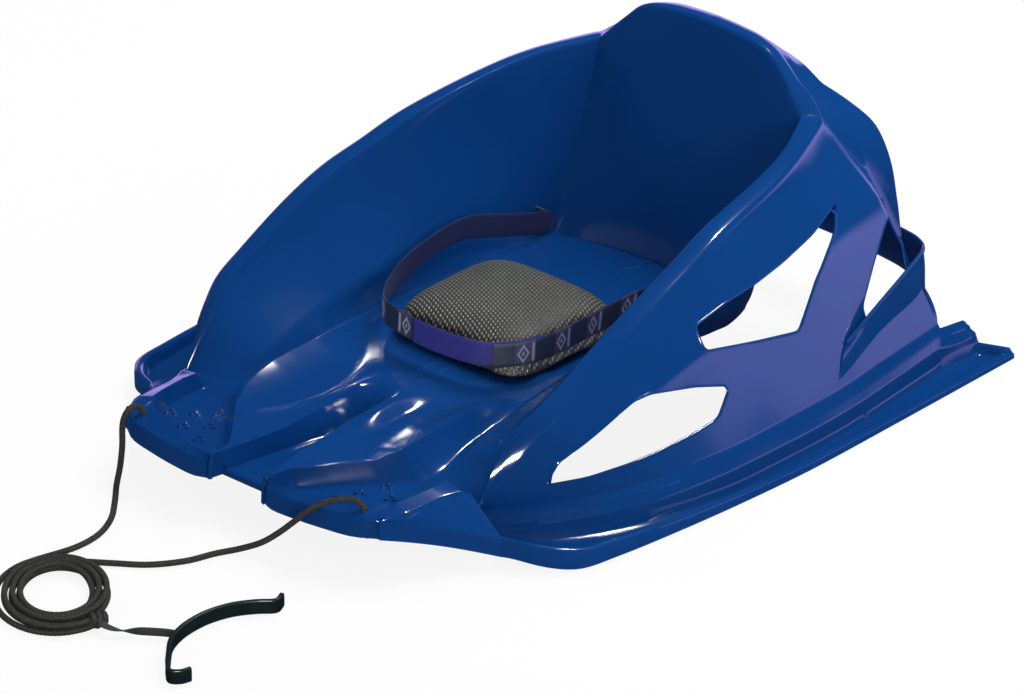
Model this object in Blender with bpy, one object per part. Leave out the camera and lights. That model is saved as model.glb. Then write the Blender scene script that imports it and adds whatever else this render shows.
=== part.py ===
# Toddler's bucket sled: one moulded body with a lap belt, a seat pad, and a tow rope with a bow handle.
# Metres, +Z up, origin on the ground under the sled's middle. The toes point to -Y, and X is a mirror axis.

import math

import bmesh
import bpy
import numpy as np
from mathutils import Vector

# The moulded body
WALL = 0.003
SEAT_Z = 0.070
BAND_Z = 0.069
BAND_FALL = 0.005
DECK_DROP = 0.020
PLATE_Z = 0.050
NOTCH_HALF = 0.030
NOTCH_APEX_Y = -0.215
PLATE_WALL = 0.0035
RIM_ROUND = 0.005
RIM_BAND = 0.020
SKIRT_SWELL = 0.075
SKIRT_BEND = 0.35
BOARD_FLOOR_Z = 0.0045
KEEL_WIDTH = 0.016
KEEL_FRONT_Y = -0.170
KEEL_REAR_Y = 0.340
KEEL_XS = (0.298, 0.311)
TOE_HOLE = (0.147, -0.364)
TOE_HOLE_R = 0.0045
HOLE_Z = 0.0650
TUB_ROWS = 36
CHEEK_ROWS = 16
DECK_SHARES = (0.0, 0.12, 0.34, 0.58, 0.80, 1.0)

# The belt, its slots and its fastening patches
GAP = 0.0003
BELT_WIDTH = 0.025
BELT_THICK = 0.0018
SLOT_LENGTH = BELT_WIDTH + 2 * GAP
SLOT_WIDTH = BELT_THICK + 2 * GAP
PATCH_START_X = -0.026
NEAR_END_X = 0.058
FAR_END_X = 0.092
PATCH_FRONT_Y = -0.040
PATCH_THICK = 0.0012
PATCH_GAP = 0.0005
LAP_FADE = 0.060
STUB_INNER_X = 0.1178
STUB_OUTER_X = 0.1390
STOP_SIZE = (0.004, 0.016, 0.032)

# The seat pad
PAD_HALF_X = 0.104
PAD_HALF_Y = 0.098
PAD_CENTRE_Y = -0.006
PAD_EDGE = 0.009
PAD_CROWN = 0.029
PAD_CROWN_EDGE = 0.90
PAD_DRAW_IN = 0.035
PAD_SIDES = 40
PAD_RINGS = (0.18, 0.36, 0.54, 0.70, 0.82, 0.90, 0.97)

# The tow rope, its strap and its handle
ROPE_D = 0.0062
ROPE_PITCH = 0.0072
ROPE_FLOOR_Z = ROPE_D / 2 + 0.0002
ROPE_LAYER = ROPE_D + 0.0006
COIL_TURNS_IN = 2.6
COIL_TURNS_CLIMB = 0.5
COIL_TURNS_OUT = 2.5
COIL_POINTS_PER_TURN = 24
COIL_CENTRE = (-0.032, -0.599)
COIL_HALF = (0.053, 0.068)
COIL_TURN_DEG = 42.6
COIL_LEAVE_TURNS = 0.35
COIL_START_DEG = 80
FAR_LOOP_START_DEG = 116
HITCH_DEG = 296
HITCH_R = 0.0085
HITCH_END_R = 0.0062
HITCH_HALF = 0.0100
TOE_KNOT_HALF_Z = 0.013
TOE_KNOT = [(0.0056, -0.013), (0.0076, -0.009), (0.0085, 0.000), (0.0076, 0.009), (0.0056, 0.013)]
STRAP_WIDTH = 0.009
STRAP_THICK = 0.0016
BOW_WIDTH = 0.015
BOW_THICK = 0.005
BOW_ROUND = 0.0013

# Stations of the half body, x, y, z: the rim from the toe end to the notch, then on over the head
RIM = [
    (0.197, -0.261, 0.046), (0.199, -0.233, 0.087), (0.201, -0.216, 0.106), (0.206, -0.190, 0.124),
    (0.207, -0.150, 0.142), (0.206, -0.082, 0.174), (0.204, -0.031, 0.193), (0.198, 0.020, 0.207),
    (0.191, 0.073, 0.222), (0.175, 0.179, 0.238), (0.161, 0.226, 0.244), (0.134, 0.280, 0.249),
]
HEAD_RIM = [
    (0.134, 0.280, 0.249), (0.107, 0.286, 0.277), (0.086, 0.289, 0.296), (0.062, 0.290, 0.304),
    (0.030, 0.290, 0.307), (0.000, 0.290, 0.308),
]
# The crease between the bowl's wall and its floor
CREASE = [
    (0.160, -0.263, 0.052), (0.152, -0.240, 0.060), (0.142, -0.206, 0.070), (0.140, -0.170, 0.082),
    (0.140, -0.090, 0.096), (0.140, -0.010, 0.102), (0.139, 0.060, 0.099), (0.134, 0.130, 0.084),
    (0.119, 0.190, 0.068),
]
BACK_CREASE = [(0.119, 0.190, 0.068), (0.090, 0.200, 0.067), (0.045, 0.206, 0.066), (0.000, 0.208, 0.066)]
# The skirt's foot on the board, then the rear edge of the skirt from the board to the head
FOOT = [
    (0.193, -0.250, 0.040), (0.218, -0.221, 0.040), (0.238, -0.188, 0.040), (0.256, -0.152, 0.040),
    (0.272, -0.106, 0.040), (0.283, -0.052, 0.040), (0.290, 0.000, 0.040), (0.291, 0.077, 0.040),
    (0.290, 0.144, 0.040), (0.281, 0.230, 0.040),
]
REAR_FOOT = (0.270, 0.334, 0.040)
REAR_EDGE = [
    REAR_FOOT, (0.2163, 0.342, 0.1045), (0.201, 0.347, 0.152), (0.189, 0.351, 0.188), (0.175, 0.352, 0.2135),
    (0.163, 0.351, 0.227), (0.140, 0.340, 0.246), (0.117, 0.327, 0.262),
]
HEAD_EDGE = [
    (0.117, 0.327, 0.262), (0.085, 0.333, 0.272), (0.058, 0.337, 0.275), (0.030, 0.338, 0.277),
    (0.000, 0.338, 0.277),
]
CENTRE_Y = (-0.252, 0.150, 0.150, 0.190)
# How the rows share out these lines: side, then round the notch, then head
ROW_MARKS = (0.0, 0.53, 0.80, 1.0)
ROW_EASE = 0.24
# Bends of the half floor ahead of the seat: y, then x of the channel's edge, the ridge and the gutter,
# then the heights of the middle, the channel, the ridge and the gutter
LEG_STATIONS = [
    (-0.395, 0.0360, 0.0380, 0.0420, 0.0690, 0.0690, 0.0690, 0.0510),
    (-0.372, 0.0350, 0.0370, 0.0410, 0.0690, 0.0690, 0.0690, 0.0510),
    (-0.356, 0.0340, 0.0400, 0.0490, 0.0690, 0.0690, 0.0692, 0.0510),
    (-0.330, 0.0480, 0.0600, 0.0730, 0.0695, 0.0688, 0.0697, 0.0510),
    (-0.293, 0.0750, 0.0910, 0.1070, 0.0700, 0.0682, 0.0712, 0.0510),
    (-0.270, 0.0620, 0.1010, 0.1290, 0.0715, 0.0672, 0.0760, 0.0520),
    (-0.250, 0.0530, 0.1050, 0.1380, 0.0740, 0.0668, 0.0805, 0.0550),
    (-0.225, 0.0470, 0.1070, 0.1360, 0.0765, 0.0670, 0.0838, 0.0590),
    (-0.200, 0.0460, 0.1080, 0.1320, 0.0770, 0.0675, 0.0850, 0.0630),
    (-0.160, 0.0560, 0.1080, 0.1310, 0.0755, 0.0690, 0.0850, 0.0690),
    (-0.135, 0.0680, 0.1090, 0.1290, 0.0730, 0.0695, 0.0820, 0.0710),
    (-0.112, 0.0840, 0.1110, 0.1280, 0.0700, 0.0700, 0.0730, 0.0720),
    (-0.080, 0.0940, 0.1120, 0.1280, 0.0700, 0.0700, 0.0700, 0.0720),
    (0.130, 0.0900, 0.1060, 0.1180, 0.0700, 0.0700, 0.0700, 0.0710),
    (0.190, 0.0800, 0.0920, 0.1040, 0.0690, 0.0690, 0.0690, 0.0690),
]
# Where the low patch of each foot rest meets its raised band
PATCH_FRONT = [(0.020, -0.3790), (0.0555, -0.3820), (0.095, -0.3730), (0.148, -0.3450), (0.170, -0.3200)]
PATCH_SIDE = [(-0.395, 0.150), (-0.345, 0.157), (-0.320, 0.161), (-0.290, 0.163), (-0.263, 0.160)]
BAND_STEP = 0.004
# The board's outer edge: x, y and the height of the top of its rim
BOARD_EDGE = [
    (0.236, -0.268, 0.030), (0.272, -0.250, 0.026), (0.296, -0.222, 0.021), (0.305, -0.180, 0.018),
    (0.314, -0.106, 0.015), (0.321, -0.020, 0.012), (0.325, 0.077, 0.010), (0.323, 0.200, 0.009),
    (0.321, 0.280, 0.008),
]
BOARD_REAR_EDGE = [(0.321, 0.280, 0.008), (0.318, 0.3925, 0.008)]
BOARD_REAR_FOOT = [REAR_FOOT, (0.268, 0.372, 0.034)]
# The toe deck's outline: its outer side, then its front from the outer corner to the notch
TOE_SIDE = [(0.190, -0.264), (0.181, -0.290), (0.180, -0.320), (0.178, -0.344), (0.166, -0.365)]
TOE_FRONT = [(0.166, -0.365), (0.147, -0.377), (0.110, -0.385), (0.080, -0.389), (0.050, -0.390), (0.036, -0.384)]
PLATE_FRONT_Y = -0.370
# Windows in the skirt, y and z as seen from the side
WINDOW_FRONT = [
    (-0.201, 0.058), (-0.187, 0.082), (-0.100, 0.119), (-0.079, 0.121), (-0.027, 0.112), (0.012, 0.100),
    (0.015, 0.094), (-0.006, 0.073), (-0.042, 0.068), (-0.079, 0.064), (-0.116, 0.061), (-0.161, 0.058),
]
WINDOW_REAR = [
    (0.245, 0.192), (0.221, 0.172), (0.199, 0.162), (0.170, 0.146), (0.127, 0.112), (0.069, 0.123),
    (0.000, 0.137), (-0.004, 0.141), (-0.004, 0.151), (-0.003, 0.160), (0.044, 0.168), (0.086, 0.171),
    (0.133, 0.176), (0.190, 0.183),
]
WINDOW_LEG = [
    (0.330, 0.163), (0.301, 0.151), (0.266, 0.128), (0.229, 0.099), (0.229, 0.084), (0.270, 0.082),
    (0.311, 0.095), (0.318, 0.124), (0.330, 0.141),
]
WINDOW_X = (0.186, 0.330)
# The cheek's foot on the board and its top edge, both going on as the wall across the back
CHEEK_FOOT = [
    (0.287, 0.153, 0.036), (0.2786, 0.209, 0.035), (0.2706, 0.2716, 0.034), (0.260, 0.337, 0.033),
    (0.243, 0.354, 0.045), (0.205, 0.368, 0.062), (0.120, 0.378, 0.066), (0.000, 0.380, 0.066),
]
CHEEK_TOP = [
    (0.271, 0.188, 0.082), (0.266, 0.239, 0.101), (0.255, 0.302, 0.118), (0.242, 0.336, 0.121),
    (0.225, 0.348, 0.120), (0.205, 0.355, 0.118), (0.120, 0.364, 0.118), (0.000, 0.366, 0.118),
]
CHEEK_HOLLOW = 0.006
# The belt's line round the pad, from the far slot to the near one: x, y and the height of its middle
BELT_LINE = [
    (-0.1165, 0.178, 0.085), (-0.1166, 0.158, 0.0895), (-0.1225, 0.122, 0.099), (-0.1285, 0.070, 0.112),
    (-0.1260, 0.000, 0.107),
    (-0.1120, -0.048, 0.104), (-0.0780, -0.098, 0.104), (-0.0350, -0.112, 0.104), (0.0250, -0.113, 0.104),
    (0.0610, -0.104, 0.104), (0.0860, -0.074, 0.104), (0.0960, -0.030, 0.105), (0.0990, 0.020, 0.107),
    (0.1060, 0.070, 0.112), (0.1130, 0.122, 0.099), (0.1166, 0.158, 0.0895), (0.1165, 0.178, 0.085),
]
# The rope's free stretches, from the toe knots to the coil
ROPE_FAR = [
    (-0.1470, -0.3640, 0.0622), (-0.1470, -0.3642, 0.0648), (-0.1472, -0.3657, 0.0708), (-0.1478, -0.3704, 0.0757),
    (-0.1484, -0.3768, 0.0775), (-0.1490, -0.3833, 0.0757), (-0.1495, -0.3882, 0.0705), (-0.1500, -0.3905, 0.0620),
    (-0.1500, -0.3915, 0.0400), (-0.1495, -0.3955, 0.0190), (-0.1430, -0.4070, 0.0068), (-0.1230, -0.4300, 0.0033),
    (-0.1010, -0.4580, 0.0033), (-0.0880, -0.4880, 0.0033), (-0.0860, -0.5200, 0.0033),
]
ROPE_NEAR = [
    (0.1470, -0.3640, 0.0622), (0.1469, -0.3641, 0.0648), (0.1457, -0.3651, 0.0708), (0.1420, -0.3682, 0.0757),
    (0.1370, -0.3723, 0.0776), (0.1285, -0.3795, 0.0774), (0.1170, -0.3870, 0.0728), (0.1030, -0.3940, 0.0625),
    (0.0880, -0.3990, 0.0470), (0.0710, -0.4035, 0.0300), (0.0530, -0.4090, 0.0150), (0.0350, -0.4190, 0.0058),
    (0.0210, -0.4390, 0.0033), (0.0110, -0.4680, 0.0033), (-0.0100, -0.4980, 0.0033), (-0.0400, -0.5210, 0.0033),
]
STRAP_LINE = [(0.0640, -0.6130, 0.0062), (0.0820, -0.5990, 0.0062)]
STRAP_END_Z = 0.0062
HUB_Y = -0.584
BOW_LINE = [
    (0.137, -0.468), (0.141, -0.480), (0.129, -0.494), (0.116, -0.514), (0.109, -0.540), (0.109, -0.563),
    (0.112, -0.580), (0.121, -0.602), (0.139, -0.624), (0.152, -0.638), (0.163, -0.646), (0.171, -0.640),
    (0.174, -0.630),
]


def clear_scene():
    for obj in list(bpy.data.objects):
        bpy.data.objects.remove(obj, do_unlink=True)


def material(name, colour, roughness, metallic=0.0):
    made = bpy.data.materials.new(name)
    made.use_nodes = True
    shader = made.node_tree.nodes["Principled BSDF"]
    shader.inputs["Base Color"].default_value = (*colour, 1.0)
    shader.inputs["Roughness"].default_value = roughness
    shader.inputs["Metallic"].default_value = metallic
    return made


def smooth(value, low, high):
    """0 below low, 1 above high, and a soft step between them."""
    share = np.clip((value - low) / (high - low), 0.0, 1.0)
    return share * share * (3.0 - 2.0 * share)


def through(points, samples=24):
    """A dense smooth line through the points, a centripetal Catmull-Rom spline."""
    given = np.array(points, dtype=float)
    if len(given) == 2:
        return given[0] + np.linspace(0.0, 1.0, samples)[:, None] * (given[1] - given[0])
    ends = [2.0 * given[0] - given[1], *given, 2.0 * given[-1] - given[-2]]
    line = []
    for a, b, c, d in zip(ends, ends[1:], ends[2:], ends[3:]):
        knots = np.cumsum([0.0] + [np.linalg.norm(q - p) ** 0.5 for p, q in ((a, b), (b, c), (c, d))])
        for t in np.linspace(knots[1], knots[2], samples, endpoint=False):
            ab = a + (b - a) * (t - knots[0]) / (knots[1] - knots[0])
            bc = b + (c - b) * (t - knots[1]) / (knots[2] - knots[1])
            cd = c + (d - c) * (t - knots[2]) / (knots[3] - knots[2])
            abc = ab + (bc - ab) * (t - knots[0]) / (knots[2] - knots[0])
            bcd = bc + (cd - bc) * (t - knots[1]) / (knots[3] - knots[1])
            line.append(abc + (bcd - abc) * (t - knots[1]) / (knots[2] - knots[1]))
    line.append(given[-1])
    return np.array(line)


def walked_length(line):
    """Distance along a line at each of its points."""
    return np.concatenate([[0.0], np.cumsum(np.linalg.norm(np.diff(line, axis=0), axis=1))])


def spaced(points, count):
    """count + 1 points at even steps along the smooth line through the points."""
    line = through(points)
    walked = walked_length(line)
    at = np.linspace(0.0, walked[-1], count + 1)
    return np.stack([np.interp(at, walked, line[:, k]) for k in range(line.shape[1])], axis=1)


def corner_at(mesh, corners, point):
    """The vertex at a point, which grids that meet there share."""
    key = tuple(round(float(v), 6) for v in point)
    if key not in corners:
        corners[key] = mesh.verts.new(key)
    return corners[key]


def add_grid(mesh, corners, rows):
    """Quads between rows of points. Points that coincide share a vertex, and flat quads are left out."""
    made = [[corner_at(mesh, corners, point) for point in row] for row in rows]
    for low, high in zip(made, made[1:]):
        for a, b, c, d in zip(low, low[1:], high[1:], high):
            ring = []
            for vert in (a, b, c, d):
                if vert not in ring:
                    ring.append(vert)
            if len(ring) > 2 and not mesh.faces.get(ring):
                mesh.faces.new(ring)


def object_from(mesh, name, finish):
    data = bpy.data.meshes.new(name)
    mesh.to_mesh(data)
    mesh.free()
    data.materials.append(finish)
    obj = bpy.data.objects.new(name, data)
    bpy.context.collection.objects.link(obj)
    return obj


def cutter(obj):
    obj.hide_render = True
    obj.display_type = "WIRE"
    return obj


def boolean(obj, other, operation):
    step = obj.modifiers.new(operation.lower(), "BOOLEAN")
    step.operation = operation
    step.object = other
    step.solver = "EXACT"


def block(name, low, high, finish):
    mesh = bmesh.new()
    bmesh.ops.create_cube(mesh, size=1.0)
    middle = (Vector(low) + Vector(high)) / 2.0
    size = Vector(high) - Vector(low)
    for vert in mesh.verts:
        vert.co = Vector(v * s for v, s in zip(vert.co, size)) + middle
    return object_from(mesh, name, finish)


def prism(name, outline, low_x, high_x, finish):
    """A prism along X with an outline of y, z points."""
    mesh = bmesh.new()
    ring = [mesh.verts.new((low_x, y, z)) for y, z in outline]
    face = mesh.faces.new(ring)
    moved = bmesh.ops.extrude_face_region(mesh, geom=[face])
    for item in moved["geom"]:
        if isinstance(item, bmesh.types.BMVert):
            item.co.x = high_x
    bmesh.ops.recalc_face_normals(mesh, faces=mesh.faces)
    return object_from(mesh, name, finish)


# The moulded body's surfaces


def notch_half(y):
    """Half width of the sunken plate between the two foot rests."""
    return max(0.006, NOTCH_HALF * (y - NOTCH_APEX_Y) / (PLATE_FRONT_Y - NOTCH_APEX_Y))


def floor_bends(y):
    """x of the channel's edge, the ridge and the gutter, and the heights of middle, channel, ridge and gutter."""
    stations = np.array(LEG_STATIONS)
    return [float(np.interp(y, stations[:, 0], stations[:, column])) for column in range(1, 8)]


def row_position(share, marks):
    """Distance along a line at a share of the rows, with the paces before and after a mark eased together."""
    around = share + ROW_EASE * (np.arange(41) / 40 - 0.5)
    inside = np.abs(around)
    inside = np.where(inside > 1.0, 2.0 - inside, inside)
    places = np.interp(inside, ROW_MARKS, marks)
    places = np.where(around < 0.0, 2.0 * marks[0] - places, places)
    places = np.where(around > 1.0, 2.0 * marks[-1] - places, places)
    return float(places.mean())


def row_ends(count):
    """For each row of the tub: its point on the rim, on the crease and on the foot, and its y on the middle line."""
    straight = np.linspace(FOOT[-1], REAR_FOOT, 24)
    parts = {
        "rim": (through(RIM), None, through(HEAD_RIM)),
        "crease": (through(CREASE), None, through(BACK_CREASE)),
        "foot": (through(FOOT), np.concatenate([straight, through(REAR_EDGE)[1:]]), through(HEAD_EDGE)),
    }
    ends = {}
    corner = None
    for name, (side, fan, head) in parts.items():
        line = np.concatenate([side, *([fan[1:]] if fan is not None else []), head[1:]])
        walked = walked_length(line)
        first = walked[len(side) - 1]
        second = first + (walked_length(fan)[-1] if fan is not None else 0.0)
        marks = (0.0, first, second, walked[-1])
        places = [row_position(k / count, marks) for k in range(count + 1)]
        if fan is not None:
            at_corner = first + walked_length(straight)[-1]
            corner = int(np.argmin(np.abs(np.array(places) - at_corner)))
            places[corner] = at_corner
        ends[name] = [np.array([np.interp(place, walked, line[:, k]) for k in range(3)]) for place in places]
    middles = [row_position(k / count, CENTRE_Y) for k in range(count + 1)]
    return ends["rim"], ends["crease"], ends["foot"], middles, corner


def floor_row(middle_y, crease):
    """Points of the floor from the middle line out to the crease: plate, channel, ridge, gutter and fillet."""
    wide = max(crease[0], 1e-6)
    notch = min(notch_half(middle_y), 0.12 * wide)
    wall = min(PLATE_WALL, 0.07 * wide)
    plate = smooth(-middle_y, -NOTCH_APEX_Y - 0.004, -NOTCH_APEX_Y + 0.006)

    def y_at(x):
        return middle_y + (crease[1] - middle_y) * max(0.0, x / wide - 0.1) / 0.9

    channel_x, ridge_x, gutter_x, middle, channel, ridge, gutter = floor_bends(y_at(0.7 * wide))
    channel_x = min(channel_x, 0.70 * wide)
    ridge_x = min(ridge_x, 0.80 * wide)
    gutter_x = min(gutter_x, 0.90 * wide)
    top = middle + (PLATE_Z - middle) * plate
    row = [(0.0, middle_y, top), (notch, middle_y, top), (notch + wall, middle_y, middle)]
    halfway = 0.5 * (notch + wall + channel_x)
    row.append((halfway, y_at(halfway), 0.5 * (middle + channel)))
    row.append((channel_x, y_at(channel_x), channel))
    inner = 0.5 * (channel_x + ridge_x)
    row.append((inner, y_at(inner), channel + 0.31 * (ridge - channel)))
    row.append((ridge_x, y_at(ridge_x), ridge))
    row.append((gutter_x, y_at(gutter_x), gutter))
    fillet = 0.5 * (gutter_x + crease[0])
    row.append((fillet, y_at(fillet), gutter + 0.35 * (crease[2] - gutter)))
    row.append(tuple(crease))
    return row


def skirt_swell(share):
    """How far the skirt stands out from a straight line, 0 at its ends and 1 at its bend."""
    rising, falling = share / SKIRT_BEND, (1.0 - share) / (1.0 - SKIRT_BEND)
    return -math.log(math.exp(-10.0 * rising) + math.exp(-10.0 * falling)) / 10.0


def tub_sheet(mesh, corners):
    rims, creases, feet, middles, corner = row_ends(TUB_ROWS)
    rows = []
    for top, low, base, middle_y in zip(rims, creases, feet, middles):
        row = floor_row(middle_y, low)
        inward = np.array([low[0] - top[0], low[1] - top[1], 0.0])
        inward /= np.linalg.norm(inward)
        height = np.linalg.norm(base - top)
        outward = base - top
        outward[2] = 0.0
        outward = outward / max(np.linalg.norm(outward), 1e-6)
        scale = min(1.0, height / 0.06)
        down = np.array([0.0, 0.0, -scale])
        inner = top + scale * inward * RIM_ROUND + down * 0.8 * RIM_ROUND
        for share in (0.30, 0.65):
            sag = 0.007 * math.sin(math.pi * share)
            row.append(tuple(low + (inner - low) * share - inward * sag))
        row.append(tuple(inner))
        row.append(tuple(top))
        row.append(tuple(top + scale * outward * RIM_BAND / 2 + down * 0.11 * RIM_BAND))
        bend = top + scale * outward * RIM_BAND + down * 0.6 * RIM_BAND
        row.append(tuple(bend))
        swell = SKIRT_SWELL * height * scale
        for share in (0.2, SKIRT_BEND, 0.55, 0.8, 1.0):
            row.append(tuple(bend + (base - bend) * share + outward * swell * skirt_swell(share) * (share < 1.0)))
        rows.append(row)
    rows[-1] = [(0.0, y, z) for x, y, z in rows[-1]]
    add_grid(mesh, corners, rows)
    return rows, feet[: corner + 1]


def board_sheet(mesh, corners, foot):
    """The board from the skirt's foot: a stepped ridge, a tray and its rim."""
    rear = 5
    edge = list(spaced(BOARD_EDGE, len(foot) - 1)) + list(spaced(BOARD_REAR_EDGE, rear))[1:]
    inner = list(foot) + list(spaced(BOARD_REAR_FOOT, rear))[1:]
    rows = []
    for index, (start, end) in enumerate(zip(inner, edge)):
        out = np.array([end[0] - start[0], end[1] - start[1], 0.0])
        reach = np.linalg.norm(out)
        out /= reach
        rim_z = end[2]
        ramp = smooth(start[1], REAR_FOOT[1], BOARD_REAR_FOOT[1][1])
        floor_z = BOARD_FLOOR_Z + 0.4 * max(0.0, rim_z - 0.012)
        floor_z += (rim_z - 0.001 - floor_z) * ramp
        lift = 0.001 + 0.009 * (1.0 - smooth(index, 0, 3))

        def at(distance, z):
            return (start[0] + out[0] * distance, start[1] + out[1] * distance, z)

        step = min(0.020, 0.42 * reach)
        drop = start[2] - floor_z
        rows.append([
            tuple(start), at(0.30 * step, start[2] - 0.3 * drop), at(0.65 * step, start[2] - 0.62 * drop),
            at(step, floor_z + 0.001), at(reach - 0.014, floor_z), at(reach - 0.0075, rim_z),
            at(reach - 0.001, rim_z), at(reach, lift),
        ])
    add_grid(mesh, corners, rows)


def band_height(across):
    """Height of the raised band: across is 0 at its inner edge and 1 at its outer edge."""
    return BAND_Z - BAND_FALL * across


def deck_sheet(mesh, corners, first_row):
    """The two foot rests: plate, plateau, low patch, and the raised band with its turned-down front."""
    floor = first_row[: len(floor_row(CENTRE_Y[0], CREASE[0]))]
    borders = np.array(PATCH_FRONT)
    fronts = through(TOE_FRONT)[::-1]
    sides = np.array(PATCH_SIDE)
    edges = np.array(TOE_SIDE)[::-1]

    def bends_at(y):
        notch = notch_half(y)
        channel_x, ridge_x, gutter_x = floor_bends(y)[:3]
        first = notch + PLATE_WALL
        low = float(np.interp(y, sides[:, 0], sides[:, 1]))
        return [0.0, notch, first, 0.5 * (first + channel_x), channel_x, 0.5 * (channel_x + ridge_x), ridge_x,
                gutter_x, 0.5 * (gutter_x + low), low]

    def stop(column, wanted):
        y = -0.37
        for _ in range(12):
            y = 0.5 * (y + wanted(bends_at(y)[column]))
        return bends_at(y)[column], y

    def border_y(x):
        return float(np.interp(x, borders[:, 0], borders[:, 1]))

    def front_y(x):
        return float(np.interp(x, fronts[:, 0], fronts[:, 1]))

    rows = [[] for _ in range(len(DECK_SHARES) + 2)]
    for column, (back_x, back_y, back_z) in enumerate(floor):
        plate = column < 2
        if plate:
            end_y = PLATE_FRONT_Y
        else:
            end_y = stop(column, border_y)[1]
        for index, share in enumerate(DECK_SHARES):
            y = back_y + (end_y - back_y) * share * (0.97 if plate else 1.0)
            x = bends_at(y)[column]
            middle, channel, ridge, gutter = floor_bends(y)[3:]
            heights = [PLATE_Z, PLATE_Z, middle, 0.5 * (middle + channel), channel,
                       channel + 0.31 * (ridge - channel), ridge, gutter, gutter, gutter]
            z = heights[column]
            if index == 0:
                x, z = back_x, back_z
            rows[index].append((x, y, z))
        if plate:
            rows[-2].append((bends_at(end_y)[column], end_y * 0.99, PLATE_Z))
            rows[-1].append((bends_at(end_y)[column], end_y, PLATE_Z))
            continue
        x, y = stop(column, lambda x: border_y(x) - BAND_STEP)
        rows[-2].append((x, y, band_height(0.0)))
        x, y = stop(column, front_y)
        rows[-1].append((x, y, band_height(1.0)))
    for index, row in enumerate(rows):
        last_x, last_y, last_z = row[-1]
        if index == 0:
            row.append((last_x + BAND_STEP, last_y, 0.058))
            row.append((TOE_SIDE[0][0], TOE_SIDE[0][1], 0.060))
            drop = 0.010
        elif index < len(rows) - 1:
            row.append((last_x + BAND_STEP, last_y, band_height(0.0)))
            row.append((float(np.interp(last_y, edges[:, 1], edges[:, 0])), last_y, band_height(1.0)))
            drop = DECK_DROP
        else:
            row.append((0.5 * (last_x + TOE_FRONT[0][0]), front_y(0.5 * (last_x + TOE_FRONT[0][0])), band_height(1.0)))
            row.append((TOE_FRONT[0][0], TOE_FRONT[0][1], band_height(1.0)))
            drop = DECK_DROP
        x, y, z = row[-1]
        row.append((x + 0.002, y - (0.001 if index == len(rows) - 1 else 0.0), z - drop))
    apron = []
    for column, (x, y, z) in enumerate(rows[-1][:-1]):
        low = PLATE_Z - 0.006 if column < 2 else z - DECK_DROP
        apron.append((x, y - 0.002, low))
    apron[-1] = rows[-1][-1]
    add_grid(mesh, corners, rows)
    add_grid(mesh, corners, [rows[-1][:-1], apron])


def shell(name, mesh, finish):
    """The sheet and its mirror image, joined on the middle plane and thickened away from the seen side."""
    twin = bmesh.ops.duplicate(mesh, geom=mesh.verts[:] + mesh.edges[:] + mesh.faces[:])["geom"]
    for item in twin:
        if isinstance(item, bmesh.types.BMVert):
            item.co.x = -item.co.x
    bmesh.ops.remove_doubles(mesh, verts=mesh.verts, dist=1e-5)
    bmesh.ops.recalc_face_normals(mesh, faces=mesh.faces)
    highest = max(mesh.faces, key=lambda face: abs(face.normal.z) * (face.calc_center_median().z < 0.3))
    if highest.normal.z < 0.0:
        bmesh.ops.reverse_faces(mesh, faces=mesh.faces)
    obj = object_from(mesh, name, finish)
    thick = obj.modifiers.new("wall", "SOLIDIFY")
    thick.thickness = WALL
    thick.offset = -1.0
    thick.use_even_offset = True
    return obj


def cheek(finish):
    """The flared guard at each rear corner and the wall that joins the two across the back."""
    foot = spaced(CHEEK_FOOT, CHEEK_ROWS)
    top = spaced(CHEEK_TOP, CHEEK_ROWS)
    rows = []
    for index, (low, high) in enumerate(zip(foot, top)):
        ahead = top[min(index + 1, CHEEK_ROWS)] - top[max(index - 1, 0)]
        inward = np.array([-ahead[1], ahead[0], 0.0]) / np.linalg.norm(ahead[:2])
        hollow = inward * CHEEK_HOLLOW * smooth(index, 0, 4)
        rows.append([tuple(low), tuple(low + (high - low) * 0.4 + hollow), tuple(high)])
    rows[-1] = [(0.0, y, z) for x, y, z in rows[-1]]
    mesh = bmesh.new()
    add_grid(mesh, {}, rows)
    obj = shell("cheeks", mesh, finish)
    return cutter(obj)


def sled_body(finish):
    mesh = bmesh.new()
    corners = {}
    rows, foot = tub_sheet(mesh, corners)
    board_sheet(mesh, corners, foot)
    deck_sheet(mesh, corners, rows[0])
    body = shell("sled_body", mesh, finish)
    for sign in (-1, 1):
        for number, outline in enumerate((WINDOW_FRONT, WINDOW_REAR, WINDOW_LEG)):
            ends = sorted(sign * x for x in WINDOW_X)
            window = prism(f"window_{sign}_{number}", outline, ends[0], ends[1], finish)
            boolean(body, cutter(window), "DIFFERENCE")
    boolean(body, cheek(finish), "UNION")
    for sign in (-1, 1):
        for number, middle in enumerate(KEEL_XS):
            low = min(sign * (middle - KEEL_WIDTH / 4), sign * (middle + KEEL_WIDTH / 4))
            keel = block(f"keel_{sign}_{number}", (low, KEEL_FRONT_Y, 0.0),
                         (low + KEEL_WIDTH / 2, KEEL_REAR_Y, 0.0035), finish)
            boolean(body, cutter(keel), "UNION")
        slot_x = sign * BELT_LINE[-1][0]
        slot_y, slot_z = BELT_LINE[-1][1:]
        slot = block(f"slot_{sign}", (slot_x - 0.020, slot_y - SLOT_WIDTH / 2, slot_z - SLOT_LENGTH / 2),
                     (slot_x + 0.020, slot_y + SLOT_WIDTH / 2, slot_z + SLOT_LENGTH / 2), finish)
        boolean(body, cutter(slot), "DIFFERENCE")
        hole = revolved(f"hole_{sign}", [(TOE_HOLE_R, -0.02), (TOE_HOLE_R, 0.02)], 16,
                        (sign * TOE_HOLE[0], TOE_HOLE[1], HOLE_Z), (0.0, 0.0, 1.0), finish)
        boolean(body, cutter(hole), "DIFFERENCE")
    return body


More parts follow.
